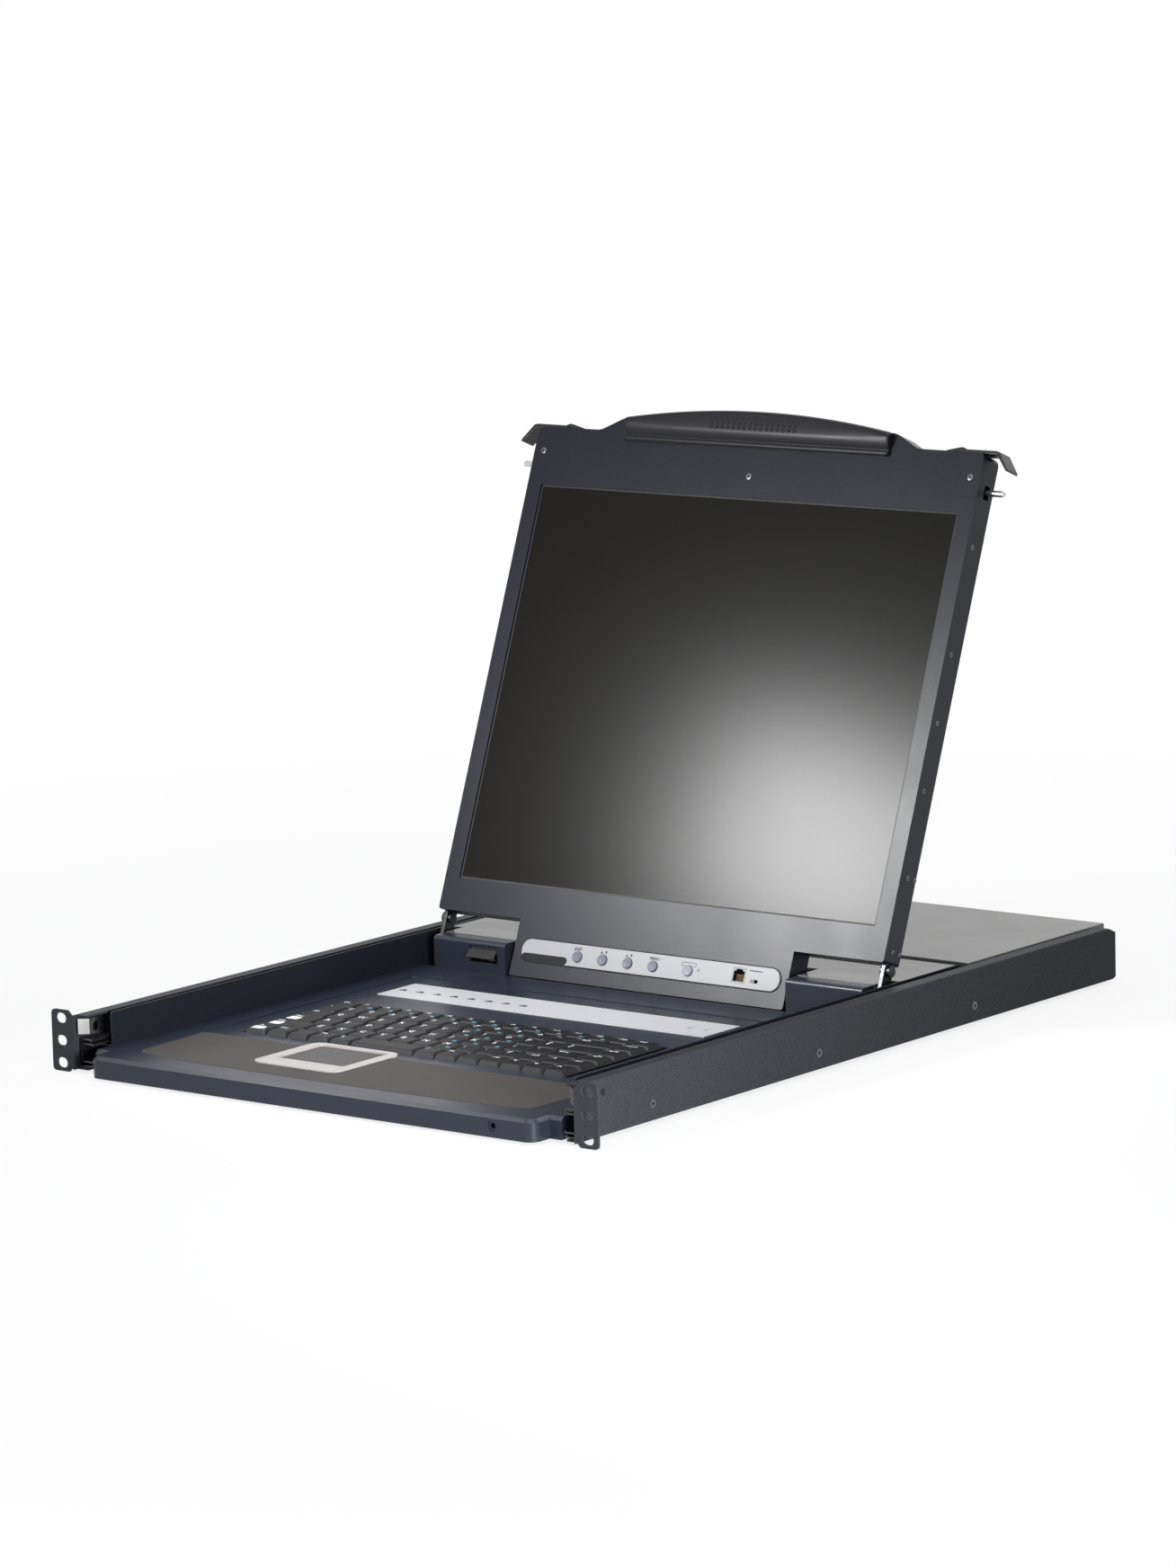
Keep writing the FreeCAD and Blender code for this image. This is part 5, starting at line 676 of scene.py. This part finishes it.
def painted_cross_shade(mesh, place, radius, height):
    """Dark cross of painted shade on a screw head, for its cross recess."""
    half = 0.14 * radius
    arm = 0.55 * radius
    for long_x in (True, False):
        size = (arm, half) if long_x else (half, arm)
        points = rounded_points((-size[0], -size[1]), size, 0.6 * half, 2)
        stack(mesh, [(points, height - 0.12 * MM), (points, height + 0.02 * MM)], place)


def build_screws():
    """Pan heads on the bezel, with painted shade for their cross recesses."""
    low, high = lid_box("lid_screws")
    radius = 2.4 * MM
    height = LID_FRONT - low.y
    heads = bmesh.new()
    crosses = bmesh.new()
    upper = high.z - radius
    for x, v in ((low.x + radius, upper), (high.x - radius, upper), (0.0, low.z + radius)):
        place = on_lid(x, v, LID_FRONT)
        screw_head(heads, place, radius, height)
        painted_cross_shade(crosses, place, radius, height)
    piece("bezel_screw_heads", heads, "lid", "screw_steel", hides=("lid_screws",))
    piece("bezel_screw_crosses", crosses, "lid", "ink_and_painted_shade")


HANDLE_LOW, HANDLE_HIGH = lid_box("lid_handle")
HANDLE_END = 404.2 * MM
HANDLE_STEPS = 40
HOLE_PITCH = 5.0 * MM
HOLE_ROW_PITCH = 3.5 * MM
HOLE_COLUMNS = 16
HOLE_SIDES = 14


def handle_section(top):
    """Section of the grip at a top height: rounded bead along its foot, hollowed face, round top edge."""
    ledge = -LID_FRONT + 2.9 * MM
    bulge = -HANDLE_LOW.y
    back = -HANDLE_HIGH.y
    foot = HANDLE_LOW.z
    return [
        (back, foot + 17 * MM), (-LID_FRONT, foot + 17 * MM), (-LID_FRONT, foot),
        (ledge - 1.4 * MM, foot + 0.1 * MM), (ledge - 0.4 * MM, foot + 0.9 * MM), (ledge, foot + 2.1 * MM),
        (ledge - 0.2 * MM, foot + 3.4 * MM), (ledge - 0.9 * MM, foot + 4.4 * MM),
        (ledge - 0.7 * MM, foot + 5.2 * MM), (ledge + 0.6 * MM, foot + 6.4 * MM),
        (bulge - 1.2 * MM, foot + 9.6 * MM), (bulge - 0.2 * MM, min(foot + 12.5 * MM, top - 3.6 * MM)),
        (bulge, top - 3.2 * MM), (bulge - 0.5 * MM, top - 1.5 * MM), (bulge - 1.9 * MM, top - 0.4 * MM),
        (bulge - 3.6 * MM, top), (back + 3.5 * MM, top), (back + 1.2 * MM, top - 0.9 * MM),
        (back, top - 3.0 * MM),
    ]


def handle_top(x):
    """Height of the grip's arched top at a place across the lid."""
    half = HANDLE_HIGH.x
    rise = HANDLE_HIGH.z - HANDLE_END
    radius = (half ** 2 + rise ** 2) / (2 * rise)
    return HANDLE_HIGH.z - radius + math.sqrt(radius ** 2 - x ** 2)


def handle_ring(x):
    """Points (w, v) of the grip's section at a place across the lid, drawn in near its ends."""
    points = [Vector(point) for point in handle_section(handle_top(x))]
    to_end = HANDLE_HIGH.x - abs(x)
    shrink = 1.3 * MM if to_end < 0.1 * MM else (0.4 * MM if to_end < 1 * MM else 0)
    middle = (sum(p[0] for p in points) / len(points), sum(p[1] for p in points) / len(points))
    ring = []
    for w, v in points:
        away = Vector((w - middle[0], v - middle[1]))
        away -= away.normalized() * shrink
        ring.append((middle[0] + away.x, middle[1] + away.y))
    return ring


def build_handle():
    """Arched grip swept across the lid, with rounded ends."""
    half = HANDLE_HIGH.x
    stations = [-half, -half + 0.5 * MM, -half + 1.6 * MM]
    span = half - 4 * MM
    stations += [(-1 + 2 * index / HANDLE_STEPS) * span for index in range(HANDLE_STEPS + 1)]
    stations += [half - 1.6 * MM, half - 0.5 * MM, half]
    mesh = bmesh.new()
    rows = []
    for x in stations:
        rows.append([mesh.verts.new(LID @ Vector((x, -w, v))) for w, v in handle_ring(x)])
    count = len(rows[0])
    for near, far in zip(rows, rows[1:]):
        for index in range(count):
            after = (index + 1) % count
            mesh.faces.new((near[index], near[after], far[after], far[index]))
    mesh.faces.new(rows[0])
    mesh.faces.new(rows[-1][::-1])
    piece("handle_grip", mesh, "lid", "handle_plastic", hides=("lid_handle",))


def build_handle_holes():
    """Three rows of small holes in the grip's face, each a dark plug of painted shade within a rim, and one more
    dark plug as a dot above them.
    """
    holes = bmesh.new()
    rims = bmesh.new()
    outer = circle_points((0, 0), 1.45 * MM, HOLE_SIDES)
    inner = circle_points((0, 0), 1.1 * MM, HOLE_SIDES)
    for row in range(3):
        offset = HOLE_PITCH / 2 if row == 2 else 0
        for column in range(HOLE_COLUMNS):
            x = (column - (HOLE_COLUMNS - 1) / 2) * HOLE_PITCH + offset - HOLE_PITCH / 4
            place = on_lid(x, HANDLE_LOW.z + 13.4 * MM + row * HOLE_ROW_PITCH, HANDLE_LOW.y)
            painted_hole_shade(holes, place, 1.15 * MM, 0.7 * MM, HOLE_SIDES)
            frame_ring(rims, outer, inner, -0.3 * MM, 0.05 * MM, place)
    place = on_lid(0, HANDLE_HIGH.z - 4.6 * MM, HANDLE_LOW.y)
    painted_hole_shade(holes, place, 0.9 * MM, 0.5 * MM, HOLE_SIDES)
    piece("handle_hole_shade", holes, "lid", "ink_and_painted_shade")
    piece("handle_hole_rims", rims, "lid", "handle_plastic")


def painted_hole_shade(mesh, place, radius, floor, sides):
    """Dark plug of painted shade that reads as a hole, slightly sunk in its middle."""
    turned(mesh, [(radius, -0.5 * MM), (radius, 0.04 * MM), (floor, 0.03 * MM)], place, sides)


TAB_INNER = 162 * MM
TAB_OUTER = 182 * MM
BLADE_BEND = 209.6 * MM
BLADE_TIP_LEVEL = 382.6 * MM
BLADE_THICKNESS = 2.6 * MM


def build_latches():
    """Latch levers: thumb rest on the lid's top edge and a blade that slants down past its corner."""
    for side, name in ((-1, "left"), (1, "right")):
        node = "latch_slider_" + name
        low, high = lid_box(node)
        top = high.z
        base = LID_TOP + 0.4 * MM
        upper = base + BLADE_THICKNESS
        root = TAB_OUTER - 4 * MM
        tip = max(abs(low.x), abs(high.x))
        blade = [
            (root, base), (BLADE_BEND - 1.2 * MM, base), (tip - 1.6 * MM, BLADE_TIP_LEVEL + 0.2 * MM),
            (tip, BLADE_TIP_LEVEL), (tip - 0.2 * MM, BLADE_TIP_LEVEL + 1.8 * MM),
            (BLADE_BEND + 0.8 * MM, base + 2.0 * MM), (BLADE_BEND - 2.5 * MM, upper), (root, upper),
        ]
        thumb = [
            (TAB_INNER, base), (TAB_OUTER, base), (TAB_OUTER, upper), (TAB_OUTER - 3 * MM, top - 0.4 * MM),
            (TAB_OUTER - 4.5 * MM, top), (TAB_OUTER - 7 * MM, top - 0.3 * MM),
            (TAB_INNER + 3 * MM, base + 1.6 * MM),
        ]
        mesh = bmesh.new()
        for points, front, back in ((blade, 6.5 * MM, -7.5 * MM), (thumb, 5.5 * MM, -4.5 * MM)):
            sided = [(side * x, v) for x, v in points]
            stack(mesh, [(sided, back), (sided, front)], LID_FACE)
        piece(node + "_lever", mesh, "latch_" + name, "black_plastic", 0.4, (node,))


def clusters(node, reach=1 * MM):
    """Lowest and highest corner of each group of a node's solids that lie within reach of each other."""
    data = nodes[node].data
    parent = list(range(len(data.vertices)))

    def root(index):
        while parent[index] != index:
            parent[index] = parent[parent[index]]
            index = parent[index]
        return index

    for polygon in data.polygons:
        first = root(polygon.vertices[0])
        for vertex in polygon.vertices[1:]:
            parent[root(vertex)] = first
    groups = {}
    for vertex in data.vertices:
        groups.setdefault(root(vertex.index), []).append(vertex.co)
    boxes = []
    axes = range(3)
    for points in groups.values():
        low = Vector([min(p[axis] for p in points) for axis in axes])
        high = Vector([max(p[axis] for p in points) for axis in axes])
        for other_low, other_high in boxes:
            if all(low[a] <= other_high[a] + reach and high[a] >= other_low[a] - reach for a in axes):
                for axis in axes:
                    other_low[axis] = min(low[axis], other_low[axis])
                    other_high[axis] = max(high[axis], other_high[axis])
                break
        else:
            boxes.append((low, high))
    return boxes


RAIL_FACE = 223.0 * MM
# Place (y, z) of the rivet of each rail's catch.
RIVET_PLACE = (27.5 * MM, 9.8 * MM)


def build_rail_screws():
    """Heads of the screws in the rails' webs, with painted shade in their crosses and in a ring round each head,
    and the dark ends of the catches' rivets.
    """
    heads = bmesh.new()
    crosses = bmesh.new()
    rings = bmesh.new()
    for low, high in clusters("chassis_screws"):
        side = 1 if high.x > 0 else -1
        middle = (low + high) / 2
        place = facing((side * RAIL_FACE, middle.y, middle.z), (side, 0, 0))
        radius = (high.z - low.z) / 2
        profile = [
            (radius, -0.3 * MM), (radius, 0.02 * MM), (0.75 * radius, 0.10 * MM), (0.3 * radius, 0.12 * MM),
        ]
        turned(heads, profile, place, 28)
        painted_cross_shade(crosses, place, radius, 0.13 * MM)
        # Dark ring of painted shade in the gap round the head.
        outer = circle_points((0, 0), radius + 0.35 * MM, 28)
        frame_ring(rings, outer, circle_points((0, 0), radius, 28), -0.2 * MM, 0.03 * MM, place)
    for side in (-1, 1):
        place = facing((side * RAIL_FACE, *RIVET_PLACE), (side, 0, 0))
        turned(rings, [(2.6 * MM, -0.2 * MM), (2.6 * MM, 0.12 * MM), (1.0 * MM, 0.3 * MM)], place, 24)
    piece("rail_screw_heads", heads, "chassis", "screw_steel")
    piece("rail_screw_crosses", crosses, "chassis", "ink_and_painted_shade")
    piece("rail_screw_rings", rings, "chassis", "ink_and_painted_shade")


# Places (w, v) in millimetres of the small screws in the lid's side walls.
SIDE_SCREWS = [(-3.4, v) for v in (326.3, 247.7, 197.7, 148.4)]
SIDE_SCREWS += [(w, v) for v in (85.7, 31.7) for w in (-1.6, 7.2)]
SIDE_SCREW_RADIUS = 1.9 * MM
SLIT = ((188 * MM, 360.6 * MM), (201.5 * MM, 361.3 * MM))


def build_lid_sides():
    """Small screws in the lid's side walls, with painted shade in their crosses, and the slits beside the latches
    as thin dark strips of painted shade.
    """
    heads = bmesh.new()
    dark = bmesh.new()
    radius = SIDE_SCREW_RADIUS
    profile = [(radius, -0.2 * MM), (radius, 0.15 * MM), (1.3 * MM, 0.5 * MM), (0.4 * MM, 0.6 * MM)]
    (left, low), (right, high) = SLIT
    for side in (-1, 1):
        for w, v in SIDE_SCREWS:
            place = facing(LID @ Vector((side * LID_HALF, w * MM, v * MM)), (side, 0, 0))
            turned(heads, profile, place, 22)
            painted_cross_shade(dark, place, radius, 0.6 * MM)
        # The slit is a thin dark strip of painted shade.
        slit = [(side * x, v) for x, v in ((left, low), (right, low), (right, high), (left, high))]
        stack(dark, [(slit, -LID_FRONT - 0.05 * MM), (slit, -LID_FRONT + 0.05 * MM)], LID_FACE)
    piece("lid_side_screws", heads, "lid", "screw_steel")
    piece("lid_side_shade", dark, "lid", "ink_and_painted_shade")


# Place of the right knuckle's inner end in the lid's axes.
KNUCKLE_PLACE = (194.9 * MM, 0, 18.6 * MM)
KNUCKLE_LENGTH = 8.0 * MM


def build_hinge_covers():
    """Round sleeves over the hinge knuckles."""
    mesh = bmesh.new()
    x, w, v = KNUCKLE_PLACE
    length = KNUCKLE_LENGTH
    profile = [
        (3.6 * MM, 0), (4.2 * MM, 0.5 * MM), (4.2 * MM, length - 0.5 * MM), (3.7 * MM, length),
        (2.2 * MM, length + 0.1 * MM), (2.0 * MM, length - 0.3 * MM),
    ]
    for side in (-1, 1):
        turned(mesh, profile, facing(LID @ Vector((side * x, w, v)), (side, 0, 0)), 36)
    piece("hinge_knuckle_sleeves", mesh, "lid", "hinge_steel")


PORT_COUNT = 8
PORT_PITCH = 15.9 * MM


def build_status_marks():
    """Small port marks and lens rims on the strip behind the keys."""
    low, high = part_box("status_strip")
    mesh = bmesh.new()
    y = (low.y + high.y) / 2 - 2.2 * MM

    def mark(x, half, bottom, top, radius):
        points = rounded_points((x - half, y + bottom), (x + half, y + top), radius, 3)
        stack(mesh, [(points, high.z - 0.03 * MM), (points, high.z + 0.03 * MM)])

    for index in range(PORT_COUNT):
        x = low.x + 8 * MM + index * PORT_PITCH
        mark(x, 3.4 * MM, -1.2 * MM, 1.2 * MM, 0.5 * MM)
        mark(x, 1.8 * MM, 1.6 * MM, 3.2 * MM, 0.3 * MM)
    light_low, light_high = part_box("status_lights")
    for x in (light_low.x + 1.5 * MM, light_high.x - 1.5 * MM):
        mark(x, 1.6 * MM, 4.6 * MM, 5.2 * MM, 0.25 * MM)
    piece("status_marks", mesh, "drawer", "ink_and_painted_shade")


SOCKET_COUNT = 9
FIRST_SOCKET = -184 * MM
SOCKET_PITCH = 34.5 * MM
SOCKET_LEVEL = -3 * MM
CONTACT_PITCH = (2.3 * MM, 2.0 * MM)


def build_rear_details():
    """Contact holes in the D-shaped sockets, in three rows, each a dark plug of painted shade."""
    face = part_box("rear_connectors")[1].y
    mesh = bmesh.new()
    profile = [(0.5 * MM, -0.3 * MM), (0.5 * MM, 0.02 * MM), (0.3 * MM, 0.01 * MM)]
    for index in range(SOCKET_COUNT):
        middle = FIRST_SOCKET + SOCKET_PITCH * index
        for row in range(3):
            shift = 0.6 * MM if row == 1 else 0
            z = SOCKET_LEVEL + (row - 1) * CONTACT_PITCH[1]
            for column in range(5):
                x = middle + (column - 2) * CONTACT_PITCH[0] + shift
                turned(mesh, profile, facing((x, face, z), (0, 1, 0)), 10)
    piece("rear_contact_hole_shade", mesh, "chassis", "ink_and_painted_shade")


CAMERA_PLACE = (2.70285, -3.13944, 0.88528)
AZIMUTH = math.radians(38.13)
ELEVATION = math.radians(9.46)
ROLL = math.radians(-1.42)
FOCAL_LENGTH = 143.65


def build_camera():
    """Camera at the photograph's angle."""
    data = bpy.data.cameras.new("camera")
    data.lens = FOCAL_LENGTH
    data.sensor_width = 36
    data.clip_end = 100
    camera = bpy.data.objects.new("camera", data)
    bpy.context.scene.collection.objects.link(camera)
    flat = math.cos(ELEVATION)
    forward = Vector((-math.sin(AZIMUTH) * flat, math.cos(AZIMUTH) * flat, -math.sin(ELEVATION)))
    right = Vector((math.cos(AZIMUTH), math.sin(AZIMUTH), 0))
    up = right.cross(forward)
    across = right * math.cos(ROLL) + up * math.sin(ROLL)
    upward = up * math.cos(ROLL) - right * math.sin(ROLL)
    matrix = Matrix((across, upward, -forward)).transposed().to_4x4()
    matrix.translation = Vector(CAMERA_PLACE)
    camera.matrix_world = matrix
    bpy.context.scene.camera = camera


def area_light(name, place, target, size, power, spread=None):
    """Rectangular lamp that looks at a target; one with a narrow spread isn't seen itself."""
    data = bpy.data.lights.new(name, "AREA")
    data.shape = "RECTANGLE"
    data.size, data.size_y = size
    data.energy = power
    light = bpy.data.objects.new(name, data)
    bpy.context.scene.collection.objects.link(light)
    light.location = place
    light.rotation_mode = "QUATERNION"
    light.rotation_quaternion = (Vector(target) - Vector(place)).to_track_quat("-Z", "Y")
    if spread:
        data.spread = math.radians(spread)
        light.visible_camera = False


def any_of(tree, first, *others):
    """Largest of some sockets' values, which is 1 where one of them is 1."""
    for other in others:
        most = tree.nodes.new("ShaderNodeMath")
        most.operation = "MAXIMUM"
        tree.links.new(first, most.inputs[0])
        tree.links.new(other, most.inputs[1])
        first = most.outputs[0]
    return first


AMBIENT_COLOUR = (0.93, 0.95, 1, 1)
AMBIENT_STRENGTH = 0.32


def build_world():
    """White to the camera, in reflections and through glass; a softer light on the object."""
    world = bpy.data.worlds.new("studio")
    world.use_nodes = True
    tree = world.node_tree
    tree.nodes.clear()
    rays = tree.nodes.new("ShaderNodeLightPath").outputs
    seen = any_of(tree, rays["Is Camera Ray"], rays["Is Glossy Ray"], rays["Is Transmission Ray"])
    ambient = tree.nodes.new("ShaderNodeBackground")
    ambient.inputs["Color"].default_value = AMBIENT_COLOUR
    ambient.inputs["Strength"].default_value = AMBIENT_STRENGTH
    white = tree.nodes.new("ShaderNodeBackground")
    white.inputs["Color"].default_value = (1, 1, 1, 1)
    mix = tree.nodes.new("ShaderNodeMixShader")
    output = tree.nodes.new("ShaderNodeOutputWorld")
    tree.links.new(seen, mix.inputs["Fac"])
    tree.links.new(ambient.outputs[0], mix.inputs[1])
    tree.links.new(white.outputs[0], mix.inputs[2])
    tree.links.new(mix.outputs[0], output.inputs["Surface"])
    bpy.context.scene.world = world


FLOOR_HALF = 9.0
FLOOR_GAP = 0.5 * MM
# The floor glows white by the near share close to the object and by the far share further out.
GLOW_DISTANCES = (0.45, 1.3)
GLOW_SHARES = (0.8, 1.0)


def floor_material(centre):
    """Pale matt floor that keeps the object's shadow and shows white elsewhere."""
    material = bpy.data.materials.new("floor")
    material.use_nodes = True
    tree = material.node_tree
    bsdf = tree.nodes["Principled BSDF"]
    bsdf.inputs["Base Color"].default_value = (0.86, 0.86, 0.86, 1)
    bsdf.inputs["Roughness"].default_value = 0.7
    bsdf.inputs["Specular IOR Level"].default_value = 0.1
    glow = tree.nodes.new("ShaderNodeEmission")
    glow.inputs["Color"].default_value = (1, 1, 1, 1)
    rays = tree.nodes.new("ShaderNodeLightPath").outputs
    place = tree.nodes.new("ShaderNodeTexCoord")
    reach = tree.nodes.new("ShaderNodeVectorMath")
    reach.operation = "DISTANCE"
    reach.inputs[1].default_value = centre * Vector((1, 1, 0))
    tree.links.new(place.outputs["Object"], reach.inputs[0])
    fade = tree.nodes.new("ShaderNodeMapRange")
    fade.inputs["From Min"].default_value, fade.inputs["From Max"].default_value = GLOW_DISTANCES
    fade.inputs["To Min"].default_value, fade.inputs["To Max"].default_value = GLOW_SHARES
    tree.links.new(reach.outputs["Value"], fade.inputs["Value"])
    share = tree.nodes.new("ShaderNodeMath")
    share.operation = "MULTIPLY"
    tree.links.new(any_of(tree, rays["Is Camera Ray"], rays["Is Glossy Ray"]), share.inputs[0])
    tree.links.new(fade.outputs["Result"], share.inputs[1])
    mix = tree.nodes.new("ShaderNodeMixShader")
    tree.links.new(share.outputs[0], mix.inputs["Fac"])
    tree.links.new(bsdf.outputs[0], mix.inputs[1])
    tree.links.new(glow.outputs[0], mix.inputs[2])
    tree.links.new(mix.outputs[0], tree.nodes["Material Output"].inputs["Surface"])
    return material


def build_floor():
    """Level floor just under the object."""
    low, high = cad_bounds
    centre = (low + high) / 2
    mesh = bmesh.new()
    corners = []
    for x, y in ((-1, -1), (1, -1), (1, 1), (-1, 1)):
        place = (centre.x + x * FLOOR_HALF, centre.y + y * FLOOR_HALF, low.z - FLOOR_GAP)
        corners.append(mesh.verts.new(place))
    mesh.faces.new(corners)
    data = bpy.data.meshes.new("floor")
    mesh.to_mesh(data)
    mesh.free()
    data.materials.append(floor_material(centre))
    floor = bpy.data.objects.new("floor", data)
    bpy.context.scene.collection.objects.link(floor)


SOFTBOX_SPOT = (0.142, 0, 0.096)
SOFTBOX_DISTANCE = 0.95


def build_lights():
    """Overhead and rim lamps, a low fill on the right rail, and the softbox that the display mirrors."""
    target = (0, 0.25, 0.1)
    area_light("overhead", (0.3, -0.3, 3.0), target, (2.2, 2.2), 44)
    area_light("fill", (1.2, -0.5, 0.16), (0.24, -0.12, 0.0), (0.35, 0.3), 3.0, spread=56)
    area_light("rim", (0.4, 2.6, 2.2), target, (2.4, 1.2), 26)
    # The softbox's blurred reflection lies low on the right of the display, seen from the photo's angle.
    spot = LID @ Vector(SOFTBOX_SPOT)
    normal = LID.to_3x3() @ Vector((0, -1, 0))
    sight = (spot - Vector(CAMERA_PLACE)).normalized()
    mirrored = sight - 2 * sight.dot(normal) * normal
    area_light("softbox", spot + mirrored * SOFTBOX_DISTANCE, spot, (0.20, 0.17), 1.55, spread=70)


SMOOTH = smooth_group()
make_materials()
dress_frame()
build_keyboard()
build_buttons()
build_control_marks()
build_jack_contacts()
build_switch_ribs()
build_screen()
build_screws()
build_handle()
build_handle_holes()
build_latches()
build_rail_screws()
build_lid_sides()
build_hinge_covers()
build_rear_details()
build_status_marks()
build_camera()
build_world()
build_floor()
build_lights()
bpy.context.scene.view_settings.view_transform = "Standard"
